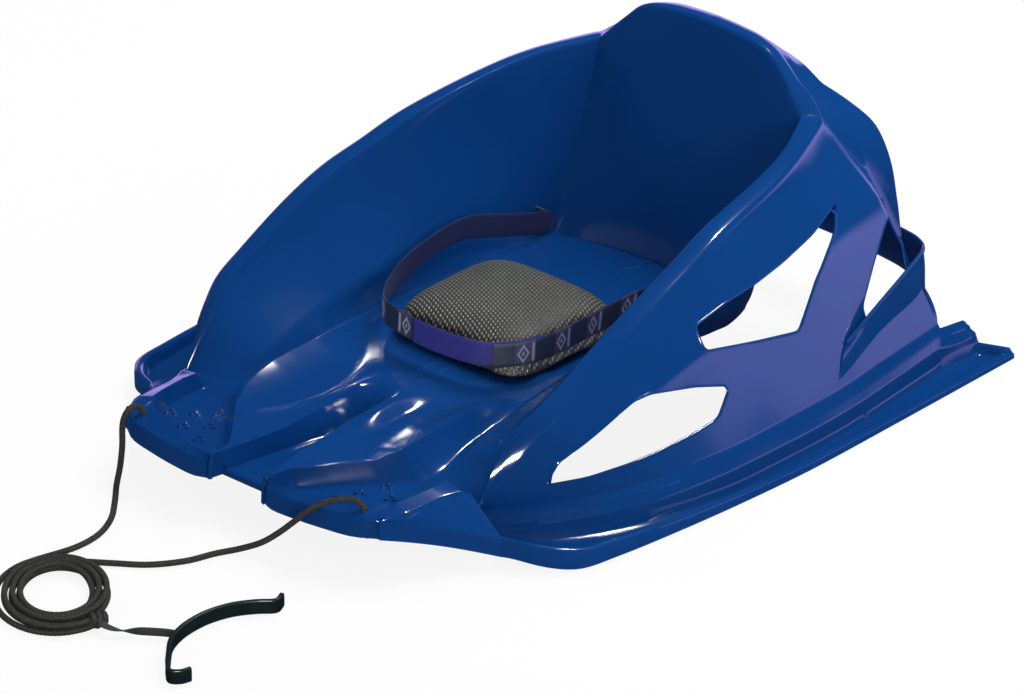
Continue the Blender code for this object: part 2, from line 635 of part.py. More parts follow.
def revolved(name, profile, sides, centre, axis, finish):
    """A solid of revolution about an axis through the centre, from radius and distance pairs along it."""
    along = np.array(axis, dtype=float)
    first = np.cross(along, (0.0, 1.0, 0.0) if abs(along[1]) < 0.9 else (1.0, 0.0, 0.0))
    first /= np.linalg.norm(first)
    second = np.cross(along, first)
    sections = []
    for r, step in profile:
        ring = []
        for k in range(sides):
            angle = 2.0 * math.pi * k / sides
            ring.append(np.array(centre) + along * step + (first * math.cos(angle) + second * math.sin(angle)) * r)
        sections.append(ring)
    return loft(name, sections, finish)


# The belt


def belt_section(points, offsets, halves, thick):
    """Closed sections of a strap that runs on edge, shifted sideways from the points' line, away from the pad."""
    pivot = np.array([0.0, *BELT_LINE[0][1:]])
    sections = []
    for index, (point, offset, half) in enumerate(zip(points, offsets, halves)):
        ahead = points[min(index + 1, len(points) - 1)] - points[max(index - 1, 0)]
        radial = point - pivot
        radial[0] = 0.0
        tangent = np.array([0.0, -radial[2], radial[1]])
        tangent = -tangent if tangent[2] < 0.0 else tangent
        tangent = tangent / max(np.linalg.norm(tangent), 1e-9)
        blend = smooth(np.linalg.norm(radial), 0.02, 0.10)
        up = np.array([0.0, 0.0, 1.0]) * (1.0 - blend) + tangent * blend
        up /= np.linalg.norm(up)
        side = np.cross(ahead / np.linalg.norm(ahead), up)
        side /= np.linalg.norm(side)
        inner, outer = side * (offset - thick / 2), side * (offset + thick / 2)
        low, high = point - up * half, point + up * half
        sections.append([low + inner, low + outer, high + outer, high + inner])
    return sections


def loft(name, sections, finish):
    mesh = bmesh.new()
    rings = [[mesh.verts.new(tuple(p)) for p in section] for section in sections]
    count = len(rings[0])
    for low, high in zip(rings, rings[1:]):
        for k in range(count):
            n = (k + 1) % count
            mesh.faces.new((low[k], low[n], high[n], high[k]))
    mesh.faces.new(rings[0][::-1])
    mesh.faces.new(rings[-1])
    bmesh.ops.recalc_face_normals(mesh, faces=mesh.faces)
    return object_from(mesh, name, finish)


def belt_band(name, line, lap, shift, finish):
    """One half of the belt from its slot to the far end of the overlap, with a round end about its pivot."""
    half = BELT_WIDTH / 2
    back = (line[0] - line[1]) / np.linalg.norm(line[0] - line[1])
    steps = [half * math.sin(math.radians(angle)) for angle in (80, 60, 35)]
    points = [line[0] + back * step for step in steps] + list(line)
    halves = [math.sqrt(half * half - step * step) for step in steps] + [half] * len(line)
    walked = walked_length(line)
    offsets = [0.0] * len(steps) + [shift * smooth(at, walked[lap] - LAP_FADE, walked[lap]) for at in walked]
    loft(name, belt_section(points, offsets, halves, BELT_THICK), finish)


def belt(webbing, hook, loop):
    """The far half runs on inside the near half. Its loop patch starts left of the near half's free end."""
    line = spaced(BELT_LINE, 56)
    front = [k for k, p in enumerate(line) if p[1] < PATCH_FRONT_Y and PATCH_START_X <= p[0] <= FAR_END_X]
    first, last = front[0], front[-1]
    free = next(k for k in front if line[k][0] >= NEAR_END_X)
    patch_shift = (PATCH_GAP + PATCH_THICK) / 2
    shift = PATCH_GAP / 2 + PATCH_THICK + GAP + BELT_THICK / 2
    belt_band("belt_far", line[: last + 1], first, -shift, webbing)
    # from the near slot the line runs the other way, so the same sideways shift is away from the pad
    from_near = line[free:][::-1]
    belt_band("belt_near", from_near, len(from_near) - 1 - (last - free), -shift, webbing)
    for name, start, side, finish in (("belt_loop_patch", first, -1, loop), ("belt_hook_patch", free, 1, hook)):
        patch = line[start: last + 1]
        halves = [BELT_WIDTH / 2] * len(patch)
        loft(name, belt_section(patch, [side * patch_shift] * len(patch), halves, PATCH_THICK), finish)


def belt_anchor(name, sign, finish):
    """The end of the webbing, through its slot, sewn round a stop behind the wall."""
    y, z = BELT_LINE[0][1:]
    mesh = bmesh.new()
    outline = [
        (STUB_INNER_X, -BELT_THICK / 2), (STUB_OUTER_X, -BELT_THICK / 2), (STUB_OUTER_X, -STOP_SIZE[1] / 2),
        (STUB_OUTER_X + STOP_SIZE[0], -STOP_SIZE[1] / 2), (STUB_OUTER_X + STOP_SIZE[0], STOP_SIZE[1] / 2),
        (STUB_OUTER_X, STOP_SIZE[1] / 2), (STUB_OUTER_X, BELT_THICK / 2), (STUB_INNER_X, BELT_THICK / 2),
    ]
    ring = [mesh.verts.new((sign * x, y + dy, z - BELT_WIDTH / 2)) for x, dy in outline]
    face = mesh.faces.new(ring)
    for item in bmesh.ops.extrude_face_region(mesh, geom=[face])["geom"]:
        if isinstance(item, bmesh.types.BMVert):
            item.co.z += BELT_WIDTH
    bmesh.ops.recalc_face_normals(mesh, faces=mesh.faces)
    return object_from(mesh, name, finish)


# The seat pad


def seat_pad(finish):
    """A soft square cushion: crowned, with rounded corners and sides that pull in between them."""
    base = SEAT_Z + GAP
    rings = []
    levels = [(r, PAD_EDGE + PAD_CROWN * max(0.0, 1.0 - (r / PAD_CROWN_EDGE) ** 2) ** 0.8) for r in PAD_RINGS]
    levels += [(1.0, 0.62 * PAD_EDGE), (0.995, 0.30 * PAD_EDGE), (0.955, 0.0)]
    mesh = bmesh.new()
    for r, height in levels:
        ring = []
        for k in range(PAD_SIDES):
            angle = 2.0 * math.pi * k / PAD_SIDES
            u = math.copysign(abs(math.cos(angle)) ** 0.5, math.cos(angle))
            v = math.copysign(abs(math.sin(angle)) ** 0.5, math.sin(angle))
            pulled = r * (1.0 - PAD_DRAW_IN * math.cos(2.0 * angle) ** 2)
            ring.append(mesh.verts.new((PAD_HALF_X * u * pulled, PAD_CENTRE_Y + PAD_HALF_Y * v * pulled,
                                        base + height)))
        rings.append(ring)
    top = mesh.verts.new((0.0, PAD_CENTRE_Y, base + PAD_EDGE + PAD_CROWN))
    bottom = mesh.verts.new((0.0, PAD_CENTRE_Y, base))
    for k in range(PAD_SIDES):
        n = (k + 1) % PAD_SIDES
        mesh.faces.new((top, rings[0][k], rings[0][n]))
        mesh.faces.new((bottom, rings[-1][n], rings[-1][k]))
        for high, low in zip(rings, rings[1:]):
            mesh.faces.new((high[k], low[k], low[n], high[n]))
    bmesh.ops.recalc_face_normals(mesh, faces=mesh.faces)
    return object_from(mesh, "seat_pad", finish)


# The tow rope


def coil_point(angle_deg, inset, height):
    """A point of the coil: an angle round it, how far inside its outermost turn, and how high."""
    angle = math.radians(angle_deg)
    turn = math.radians(COIL_TURN_DEG)
    u = (COIL_HALF[0] - inset) * math.cos(angle)
    v = (COIL_HALF[1] - inset) * math.sin(angle)
    return (COIL_CENTRE[0] + u * math.cos(turn) - v * math.sin(turn),
            COIL_CENTRE[1] + u * math.sin(turn) + v * math.cos(turn), height)


def coil_line():
    """The near rope's turns: in on the floor, up where the spiral turns back, out on top, then out to the hitch."""
    total = COIL_TURNS_IN + COIL_TURNS_CLIMB + COIL_TURNS_OUT
    count = round(total * COIL_POINTS_PER_TURN)
    innermost = COIL_TURNS_IN + COIL_TURNS_CLIMB / 2
    points = []
    for k in range(count + 1):
        turns = total * k / count
        inset = ROPE_PITCH * (innermost - abs(turns - innermost))
        leaving = smooth(turns, total - COIL_LEAVE_TURNS, total)
        inset += (-ROPE_PITCH - inset) * leaving
        climb = smooth(turns, COIL_TURNS_IN, COIL_TURNS_IN + COIL_TURNS_CLIMB)
        points.append(coil_point(COIL_START_DEG + 360.0 * turns, inset, ROPE_FLOOR_Z + ROPE_LAYER * climb))
    return points


def hitch_run():
    """Where both strands leave the coil for the hitch, and the direction that they take."""
    start = np.array(coil_point(HITCH_DEG, -ROPE_PITCH, 0.0))
    before = np.array(coil_point(HITCH_DEG - 1.0, -ROPE_PITCH, 0.0))
    return start, (start - before) / np.linalg.norm(start - before)


def hitch_middle():
    start, ahead = hitch_run()
    return start + ahead * (ROPE_D + GAP + HITCH_HALF) + np.array([0.0, 0.0, HITCH_R + GAP])


def to_hitch(height):
    """The straight end of a strand, square to the hitch."""
    start, ahead = hitch_run()
    return [tuple(start + ahead * step + np.array([0.0, 0.0, height])) for step in (ROPE_D / 2, ROPE_D)]


def rope(name, points, resolution, finish):
    """A round rope along the points, as a bevelled curve with closed ends."""
    data = bpy.data.curves.new(name, "CURVE")
    data.dimensions = "3D"
    data.bevel_depth = ROPE_D / 2
    data.bevel_resolution = resolution
    data.use_fill_caps = True
    spline = data.splines.new("POLY")
    spline.points.add(len(points) - 1)
    for point, place in zip(spline.points, points):
        point.co = (*place, 1.0)
    spline.use_smooth = False
    data.materials.append(finish)
    obj = bpy.data.objects.new(name, data)
    bpy.context.collection.objects.link(obj)
    return obj


def least_gap(points, diameter, apart):
    """The least gap between stretches of one rope that are more than apart metres from each other along it."""
    line = np.array(points)
    walked = walked_length(line)
    fine = np.linspace(0.0, walked[-1], 1200)
    dense = np.stack([np.interp(fine, walked, line[:, k]) for k in range(3)], axis=1)
    away = np.linalg.norm(dense[:, None, :] - dense[None, :, :], axis=2)
    away[np.abs(fine[:, None] - fine[None, :]) < apart] = 1.0
    return away.min() - diameter


def free_rope(route):
    """A free stretch: its first two points as given, then a point about every one and a third diameters."""
    line = through(route[1:])
    length = np.linalg.norm(np.diff(line, axis=0), axis=1).sum()
    return [route[0], *(tuple(point) for point in spaced(route[1:], round(length / (1.35 * ROPE_D))))]


def tow_rope(finish):
    top = ROPE_FLOOR_Z + ROPE_LAYER
    coil = coil_line()
    start = np.array(coil[0])
    back = (start - np.array(coil[1])) / np.linalg.norm(start - np.array(coil[1]))
    rope("rope_near", free_rope([*ROPE_NEAR, start + back * ROPE_D]) + [start + back * GAP], 2, finish)
    whole_coil = coil + to_hitch(top)
    rope("rope_coil", whole_coil, 1, finish)
    loop = [coil_point(angle, -ROPE_PITCH, ROPE_FLOOR_Z) for angle in range(FAR_LOOP_START_DEG, HITCH_DEG + 1, 15)]
    rope("rope_far", free_rope([*ROPE_FAR, loop[0]])[:-1] + loop + to_hitch(ROPE_FLOOR_Z), 2, finish)
    print(f"least gap of the coil to itself: {1000 * least_gap(whole_coil, ROPE_D, 0.04):.2f} mm")
    for name, sign in (("toe_knot_far", -1), ("toe_knot_near", 1)):
        centre = (sign * TOE_HOLE[0], TOE_HOLE[1], HOLE_Z - WALL - GAP - TOE_KNOT_HALF_Z)
        revolved(name, TOE_KNOT, 14, centre, (0.0, 0.0, 1.0), finish)
    profile = [(HITCH_END_R, -HITCH_HALF), (HITCH_R, -0.4 * HITCH_HALF), (HITCH_R, 0.4 * HITCH_HALF),
               (HITCH_END_R, HITCH_HALF)]
    revolved("rope_hitch", profile, 14, hitch_middle(), hitch_run()[1], finish)


# The handle


def strip(name, line, section, finish):
    """A strip along the line; section gives each cross-section's sideways and upward offsets at a share of it."""
    sections = []
    for index, point in enumerate(line):
        ahead = line[min(index + 1, len(line) - 1)] - line[max(index - 1, 0)]
        side = np.array([ahead[1], -ahead[0], 0.0])
        side /= np.linalg.norm(side)
        offsets = section(index / (len(line) - 1))
        sections.append([point + side * across + np.array([0.0, 0.0, up]) for across, up in offsets])
    return loft(name, sections, finish)


def strap_section(share):
    """Flat at the hitch, with a quarter twist, and on edge at the handle."""
    roll = math.radians(90.0) * smooth(share, 0.15, 0.60)
    wide = (STRAP_WIDTH / 2 * math.cos(roll), STRAP_WIDTH / 2 * math.sin(roll))
    thin = (-STRAP_THICK / 2 * math.sin(roll), STRAP_THICK / 2 * math.cos(roll))
    return [(a * wide[0] + b * thin[0], a * wide[1] + b * thin[1]) for a, b in ((-1, -1), (1, -1), (1, 1), (-1, 1))]


def bow_section(share):
    """A flat band on edge with rounded corners."""
    half_t, half_w = BOW_THICK / 2, BOW_WIDTH / 2
    near_t, near_w = half_t - BOW_ROUND, half_w - BOW_ROUND
    return [(-half_t, -near_w), (-near_t, -half_w), (near_t, -half_w), (half_t, -near_w),
            (half_t, near_w), (near_t, half_w), (-near_t, half_w), (-half_t, near_w)]


def handle(finish):
    ahead = hitch_run()[1]
    out = np.array([ahead[1], -ahead[0], 0.0])
    leaving = [tuple(hitch_middle() + out * (HITCH_R + step)) for step in (GAP, 0.006)]
    bow = spaced([(x, y, BOW_WIDTH / 2 + GAP) for x, y in BOW_LINE], 44)
    strip("handle_bow", bow, bow_section, finish)
    hub = int(np.argmin(np.abs(bow[:, 1] - HUB_Y)))
    run = bow[hub + 1] - bow[hub - 1]
    inner = np.array([run[1], -run[0], 0.0]) / np.linalg.norm(run[:2])
    foot = np.array([bow[hub][0], bow[hub][1], STRAP_END_Z])
    arriving = [tuple(foot + inner * (BOW_THICK / 2 + step)) for step in (0.008, GAP)]
    strip("handle_strap", spaced(leaving + STRAP_LINE + arriving, 16), strap_section, finish)


def main():
    clear_scene()
    blue = material("moulded_blue", (0.01, 0.06, 0.25), 0.25)
    navy = material("webbing_navy", (0.01, 0.02, 0.12), 0.8)
    bright = material("hook_blue", (0.01, 0.01, 0.45), 0.6)
    olive = material("pad_olive", (0.12, 0.11, 0.07), 0.7)
    dark = material("rope_olive", (0.02, 0.02, 0.012), 0.7)
    green = material("handle_green", (0.01, 0.025, 0.02), 0.35)
    sled_body(blue)
    seat_pad(olive)
    belt(navy, bright, bright)
    belt_anchor("belt_anchor_far", -1, navy)
    belt_anchor("belt_anchor_near", 1, navy)
    tow_rope(dark)
    handle(green)


main()
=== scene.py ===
"""A toddler's bucket sled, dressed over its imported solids: moulding, pad, belt, rope, handle and stage."""

import math

import bmesh
import bpy
import numpy as np
from bpy.props import FloatProperty, FloatVectorProperty, IntProperty, PointerProperty
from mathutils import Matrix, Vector
from mathutils.bvhtree import BVHTree


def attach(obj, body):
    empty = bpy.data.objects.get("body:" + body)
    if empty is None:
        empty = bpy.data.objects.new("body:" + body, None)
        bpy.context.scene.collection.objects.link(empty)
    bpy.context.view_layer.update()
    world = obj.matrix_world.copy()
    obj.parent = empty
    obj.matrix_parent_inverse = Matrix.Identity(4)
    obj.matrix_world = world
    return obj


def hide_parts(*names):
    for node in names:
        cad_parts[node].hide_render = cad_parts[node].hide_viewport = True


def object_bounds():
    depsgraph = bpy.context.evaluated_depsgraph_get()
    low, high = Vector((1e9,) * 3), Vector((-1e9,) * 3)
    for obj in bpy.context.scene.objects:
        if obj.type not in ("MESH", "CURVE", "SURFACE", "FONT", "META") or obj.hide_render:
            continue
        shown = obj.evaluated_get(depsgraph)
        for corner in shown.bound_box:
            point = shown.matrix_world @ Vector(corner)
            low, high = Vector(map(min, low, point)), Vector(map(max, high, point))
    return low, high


bl_info = {
    "name": "Toddler's bucket sled",
    "version": (1, 0, 0),
    "blender": (4, 5, 0),
    "location": "View3D > Sidebar > Sled",
    "description": "Builds a moulded bucket sled with its pad, lap belt, tow rope and handle",
    "category": "Object",
}

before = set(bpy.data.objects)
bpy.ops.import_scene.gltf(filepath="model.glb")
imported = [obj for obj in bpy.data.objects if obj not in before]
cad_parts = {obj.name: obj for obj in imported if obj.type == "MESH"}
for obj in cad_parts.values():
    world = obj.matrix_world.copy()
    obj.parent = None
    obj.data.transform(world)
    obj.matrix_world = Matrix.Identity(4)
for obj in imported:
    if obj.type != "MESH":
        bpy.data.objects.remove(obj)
CAD_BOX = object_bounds()

# Heights and thicknesses of the moulding, in metres
WALL = 0.003
SEAT_Z = 0.070
PLATE_Z = 0.050
PLATE_WALL = 0.0035
NOTCH_HALF = 0.030
NOTCH_APEX_Y = -0.215
PLATE_FRONT_Y = -0.370
BAND_Z = 0.069
BAND_FALL = 0.005
BAND_START_Z = (0.058, 0.060)
DECK_DROP = 0.020
RIM_ROUND = 0.005
SKIRT_SWELL = 0.075
SKIRT_BEND = 0.35
BOARD_FLOOR_Z = 0.0045
SHARP_DEG = 38
TOE_HOLE = (0.147, -0.364)

# The belt, its slots and its fastening patches
GAP = 0.0003
BELT_WIDTH = 0.025
BELT_THICK = 0.0018
PATCH_START_X = -0.026
NEAR_END_X = 0.067
FAR_END_X = 0.092
PATCH_FRONT_Y = -0.040
PATCH_THICK = 0.0012
PATCH_GAP = 0.0005
LAP_FADE = 0.060

# The seat pad
PAD_HALF_X = 0.104
PAD_HALF_Y = 0.098
PAD_CENTRE_Y = -0.006
PAD_EDGE = 0.009
PAD_CROWN = 0.029
PAD_DRAW_IN = 0.035

# The tow rope, its strap and its handle
ROPE_D = 0.0062
ROPE_PITCH = 0.0072
ROPE_FLOOR_Z = ROPE_D / 2 + 0.0002
ROPE_LAYER = ROPE_D + 0.0006
COIL_TURNS_IN = 2.6
COIL_TURNS_CLIMB = 0.5
COIL_TURNS_OUT = 2.5
COIL_POINTS_PER_TURN = 24
COIL_CENTRE = (-0.032, -0.599)
COIL_HALF = (0.053, 0.068)
COIL_TURN_DEG = 42.6
COIL_LEAVE_TURNS = 0.35
COIL_START_DEG = 80
FAR_LOOP_START_DEG = 116
HITCH_DEG = 296
HITCH_R = 0.0085
HITCH_HALF = 0.0100
STRAP_WIDTH = 0.009
STRAP_THICK = 0.0016
BOW_WIDTH = 0.015
BOW_THICK = 0.005


# Stations of the half body, x, y, z: the rim from the toe end to the notch, then on over the head
RIM = [
    (0.197, -0.261, 0.046), (0.199, -0.233, 0.087), (0.201, -0.216, 0.106), (0.206, -0.190, 0.124),
    (0.207, -0.150, 0.142), (0.206, -0.082, 0.174), (0.204, -0.031, 0.193), (0.198, 0.020, 0.207),
    (0.191, 0.073, 0.222), (0.175, 0.179, 0.238), (0.161, 0.226, 0.244), (0.134, 0.280, 0.249),
]
HEAD_RIM = [
    (0.134, 0.280, 0.249), (0.107, 0.286, 0.277), (0.086, 0.289, 0.296), (0.062, 0.290, 0.304),
    (0.030, 0.290, 0.307), (0.000, 0.290, 0.308),
]
# The crease between the bowl's wall and its floor
CREASE = [
    (0.160, -0.263, 0.052), (0.152, -0.240, 0.060), (0.142, -0.206, 0.070), (0.140, -0.170, 0.082),
    (0.140, -0.090, 0.096), (0.140, -0.010, 0.102), (0.139, 0.060, 0.099), (0.134, 0.130, 0.084),
    (0.119, 0.190, 0.068),
]
BACK_CREASE = [(0.119, 0.190, 0.068), (0.090, 0.200, 0.067), (0.045, 0.206, 0.066), (0.000, 0.208, 0.066)]
# The skirt's foot on the board, then the rear edge of the skirt from the board to the head
FOOT = [
    (0.193, -0.250, 0.040), (0.218, -0.221, 0.040), (0.238, -0.188, 0.040), (0.256, -0.152, 0.040),
    (0.272, -0.106, 0.040), (0.283, -0.052, 0.040), (0.290, 0.000, 0.040), (0.291, 0.077, 0.040),
    (0.290, 0.144, 0.040), (0.281, 0.230, 0.040),
]
REAR_FOOT = (0.270, 0.334, 0.040)
REAR_EDGE = [
    REAR_FOOT, (0.2163, 0.342, 0.1045), (0.201, 0.347, 0.152), (0.189, 0.351, 0.188), (0.175, 0.352, 0.2135),
    (0.163, 0.351, 0.227), (0.140, 0.340, 0.246), (0.117, 0.327, 0.262),
]
HEAD_EDGE = [
    (0.117, 0.327, 0.262), (0.085, 0.333, 0.272), (0.058, 0.337, 0.275), (0.030, 0.338, 0.277),
    (0.000, 0.338, 0.277),
]
CENTRE_Y = (-0.252, 0.150, 0.150, 0.190)
# How the rows share out these lines: side, then round the notch, then head
ROW_MARKS = (0.0, 0.53, 0.80, 1.0)
ROW_EASE = 0.24
# Bends of the half floor ahead of the seat: y, then x of the channel's edge, the ridge and the gutter,
# then the heights of the middle, the channel, the ridge and the gutter
LEG_STATIONS = [
    (-0.395, 0.0360, 0.0380, 0.0420, 0.0690, 0.0690, 0.0690, 0.0510),
    (-0.372, 0.0350, 0.0370, 0.0410, 0.0690, 0.0690, 0.0690, 0.0510),
    (-0.356, 0.0340, 0.0400, 0.0490, 0.0690, 0.0690, 0.0692, 0.0510),
    (-0.330, 0.0480, 0.0600, 0.0730, 0.0695, 0.0688, 0.0697, 0.0510),
    (-0.293, 0.0750, 0.0910, 0.1070, 0.0700, 0.0682, 0.0712, 0.0510),
    (-0.270, 0.0620, 0.1010, 0.1290, 0.0715, 0.0672, 0.0760, 0.0520),
    (-0.250, 0.0530, 0.1050, 0.1380, 0.0740, 0.0668, 0.0805, 0.0550),
    (-0.225, 0.0470, 0.1070, 0.1360, 0.0765, 0.0670, 0.0838, 0.0590),
    (-0.200, 0.0460, 0.1080, 0.1320, 0.0770, 0.0675, 0.0850, 0.0630),
    (-0.160, 0.0560, 0.1080, 0.1310, 0.0755, 0.0690, 0.0850, 0.0690),
    (-0.135, 0.0680, 0.1090, 0.1290, 0.0730, 0.0695, 0.0820, 0.0710),
    (-0.112, 0.0840, 0.1110, 0.1280, 0.0700, 0.0700, 0.0730, 0.0720),
    (-0.080, 0.0940, 0.1120, 0.1280, 0.0700, 0.0700, 0.0700, 0.0720),
    (0.130, 0.0900, 0.1060, 0.1180, 0.0700, 0.0700, 0.0700, 0.0710),
    (0.190, 0.0800, 0.0920, 0.1040, 0.0690, 0.0690, 0.0690, 0.0690),
]
# Where the low patch of each foot rest meets its raised band
PATCH_FRONT = [(0.020, -0.3790), (0.0555, -0.3820), (0.095, -0.3730), (0.148, -0.3450), (0.170, -0.3200)]
PATCH_SIDE = [(-0.395, 0.150), (-0.345, 0.157), (-0.320, 0.161), (-0.290, 0.163), (-0.263, 0.160)]
BAND_STEP = 0.004
# The board's outer edge: x, y and the height of the top of its rim
BOARD_EDGE = [
    (0.236, -0.268, 0.030), (0.272, -0.250, 0.026), (0.296, -0.222, 0.021), (0.305, -0.180, 0.018),
    (0.314, -0.106, 0.015), (0.321, -0.020, 0.012), (0.325, 0.077, 0.010), (0.323, 0.200, 0.009),
    (0.321, 0.280, 0.008),
]
BOARD_REAR_EDGE = [(0.321, 0.280, 0.008), (0.318, 0.3925, 0.008)]
BOARD_REAR_FOOT = [REAR_FOOT, (0.268, 0.372, 0.034)]
# The toe deck's outline: its outer side, then its front from the outer corner to the notch
TOE_SIDE = [(0.190, -0.264), (0.181, -0.290), (0.180, -0.320), (0.178, -0.344), (0.166, -0.365)]
TOE_FRONT = [
    (0.166, -0.365), (0.147, -0.377), (0.110, -0.385), (0.080, -0.389), (0.050, -0.390), (0.036, -0.384),
]
# Windows in the skirt, y and z as seen from the side
WINDOW_FRONT = [
    (-0.201, 0.058), (-0.187, 0.082), (-0.100, 0.119), (-0.079, 0.121), (-0.027, 0.112), (0.012, 0.100),
    (0.015, 0.094), (-0.006, 0.073), (-0.042, 0.068), (-0.079, 0.064), (-0.116, 0.061), (-0.161, 0.058),
]
WINDOW_REAR = [
    (0.245, 0.192), (0.221, 0.172), (0.199, 0.162), (0.170, 0.146), (0.127, 0.112), (0.069, 0.123),
    (0.000, 0.137), (-0.004, 0.141), (-0.004, 0.151), (-0.003, 0.160), (0.044, 0.168), (0.086, 0.171),
    (0.133, 0.176), (0.190, 0.183),
]
WINDOW_LEG = [
    (0.330, 0.163), (0.301, 0.151), (0.266, 0.128), (0.229, 0.099), (0.229, 0.084), (0.270, 0.082),
    (0.311, 0.095), (0.318, 0.124), (0.330, 0.141),
]
# How round the windows' corners are, and between which distances from the middle they are cut
WINDOW_ROUND = 0.006
WINDOW_CUT_X = (0.186, 0.330)
# The cheek's foot on the board and its top edge, both going on as the wall across the back
CHEEK_FOOT = [
    (0.287, 0.153, 0.036), (0.2786, 0.209, 0.035), (0.2706, 0.2716, 0.034), (0.260, 0.337, 0.033),
    (0.243, 0.354, 0.045), (0.205, 0.368, 0.062), (0.120, 0.378, 0.066), (0.000, 0.380, 0.066),
]
CHEEK_TOP = [
    (0.271, 0.188, 0.082), (0.266, 0.239, 0.101), (0.255, 0.302, 0.118), (0.242, 0.336, 0.121),
    (0.225, 0.348, 0.120), (0.205, 0.355, 0.118), (0.120, 0.364, 0.118), (0.000, 0.366, 0.118),
]
CHEEK_HOLLOW = 0.006
CHEEK_WALL = 0.0025
# The belt's line round the pad, from the far slot to the near one: x, y and the height of its middle
BELT_LINE = [
    (-0.1165, 0.178, 0.085), (-0.1166, 0.158, 0.0895), (-0.1225, 0.122, 0.099), (-0.1285, 0.070, 0.112),
    (-0.1260, 0.000, 0.107),
    (-0.1120, -0.048, 0.104), (-0.0780, -0.098, 0.104), (-0.0350, -0.112, 0.104), (0.0250, -0.113, 0.104),
    (0.0610, -0.104, 0.104), (0.0860, -0.074, 0.104), (0.0960, -0.030, 0.105), (0.0990, 0.020, 0.107),
    (0.1060, 0.070, 0.112), (0.1130, 0.122, 0.099), (0.1166, 0.158, 0.0895), (0.1165, 0.178, 0.085),
]
# The rope's free stretches, from the toe knots to the coil
ROPE_FAR = [
    (-0.1470, -0.3640, 0.0622), (-0.1470, -0.3642, 0.0648), (-0.1472, -0.3657, 0.0708),
    (-0.1478, -0.3704, 0.0757), (-0.1484, -0.3768, 0.0775), (-0.1490, -0.3833, 0.0757),
    (-0.1495, -0.3882, 0.0705), (-0.1500, -0.3905, 0.0620), (-0.1500, -0.3915, 0.0400),
    (-0.1495, -0.3955, 0.0190), (-0.1430, -0.4070, 0.0068), (-0.1230, -0.4300, 0.0033),
    (-0.1010, -0.4580, 0.0033), (-0.0880, -0.4880, 0.0033), (-0.0860, -0.5200, 0.0033),
]
ROPE_NEAR = [
    (0.1470, -0.3640, 0.0622), (0.1469, -0.3641, 0.0648), (0.1457, -0.3651, 0.0708),
    (0.1420, -0.3682, 0.0757), (0.1370, -0.3723, 0.0776), (0.1285, -0.3795, 0.0774),
    (0.1170, -0.3870, 0.0728), (0.1030, -0.3940, 0.0625), (0.0880, -0.3990, 0.0470),
    (0.0710, -0.4035, 0.0300), (0.0530, -0.4090, 0.0150), (0.0350, -0.4190, 0.0058),
    (0.0210, -0.4390, 0.0033), (0.0110, -0.4680, 0.0033), (-0.0100, -0.4980, 0.0033),
    (-0.0400, -0.5210, 0.0033),
]
STRAP_LINE = [(0.0640, -0.6130, 0.0062), (0.0820, -0.5990, 0.0062)]
STRAP_END_Z = 0.0062
HUB_Y = -0.584
BOW_LINE = [
    (0.137, -0.468), (0.141, -0.480), (0.129, -0.494), (0.116, -0.514), (0.109, -0.540), (0.109, -0.563),
    (0.112, -0.580), (0.121, -0.602), (0.139, -0.624), (0.152, -0.638), (0.163, -0.646), (0.171, -0.640),
    (0.174, -0.630),
]


def smooth(value, low, high):
    """0 below low, 1 above high, and a soft step between them."""
    share = np.clip((value - low) / (high - low), 0.0, 1.0)
    return share * share * (3.0 - 2.0 * share)


def through(points, samples=24):
    """A dense smooth line through the points, a centripetal Catmull-Rom spline."""
    given = np.array(points, dtype=float)
    if len(given) == 2:
        return given[0] + np.linspace(0.0, 1.0, samples)[:, None] * (given[1] - given[0])
    ends = [2.0 * given[0] - given[1], *given, 2.0 * given[-1] - given[-2]]
    line = []
    for a, b, c, d in zip(ends, ends[1:], ends[2:], ends[3:]):
        knots = np.cumsum([0.0] + [np.linalg.norm(q - p) ** 0.5 for p, q in ((a, b), (b, c), (c, d))])
        for t in np.linspace(knots[1], knots[2], samples, endpoint=False):
            ab = a + (b - a) * (t - knots[0]) / (knots[1] - knots[0])
            bc = b + (c - b) * (t - knots[1]) / (knots[2] - knots[1])
            cd = c + (d - c) * (t - knots[2]) / (knots[3] - knots[2])
            abc = ab + (bc - ab) * (t - knots[0]) / (knots[2] - knots[0])
            bcd = bc + (cd - bc) * (t - knots[1]) / (knots[3] - knots[1])
            line.append(abc + (bcd - abc) * (t - knots[1]) / (knots[2] - knots[1]))
    line.append(given[-1])
    return np.array(line)


def walked_length(line):
    """Distance along a line at each of its points."""
    return np.concatenate([[0.0], np.cumsum(np.linalg.norm(np.diff(line, axis=0), axis=1))])


def spaced(points, count, samples=24):
    """count + 1 points at even steps along the smooth line through the points."""
    line = through(points, samples)
    walked = walked_length(line)
    at = np.linspace(0.0, walked[-1], count + 1)
    return np.stack([np.interp(at, walked, line[:, k]) for k in range(line.shape[1])], axis=1)


def cross_profile(keys, counts):
    """A smooth cross-section through its key points, with a number of points between each pair."""
    line = through(keys, 12)
    rows = []
    for index, count in enumerate(counts):
        part = line[12 * index: 12 * index + 13]
        walked = walked_length(part)
        at = np.linspace(0.0, walked[-1], count + 1)[:-1]
        rows.append(np.stack([np.interp(at, walked, part[:, k]) for k in range(3)], axis=1))
    rows.append(line[-1:])
    return np.concatenate(rows)


def placed(name, data):
    """An object of the data, in the scene."""
    obj = bpy.data.objects.new(name, data)
    bpy.context.scene.collection.objects.link(obj)
    return obj


def mesh_object(name, mesh):
    """An object of a bmesh, which is used up."""
    data = bpy.data.meshes.new(name)
    mesh.to_mesh(data)
    mesh.free()
    return placed(name, data)


def surface_tree(obj):
    """What rays are cast at: the object with its modifiers."""
    return BVHTree.FromObject(obj, bpy.context.evaluated_depsgraph_get())


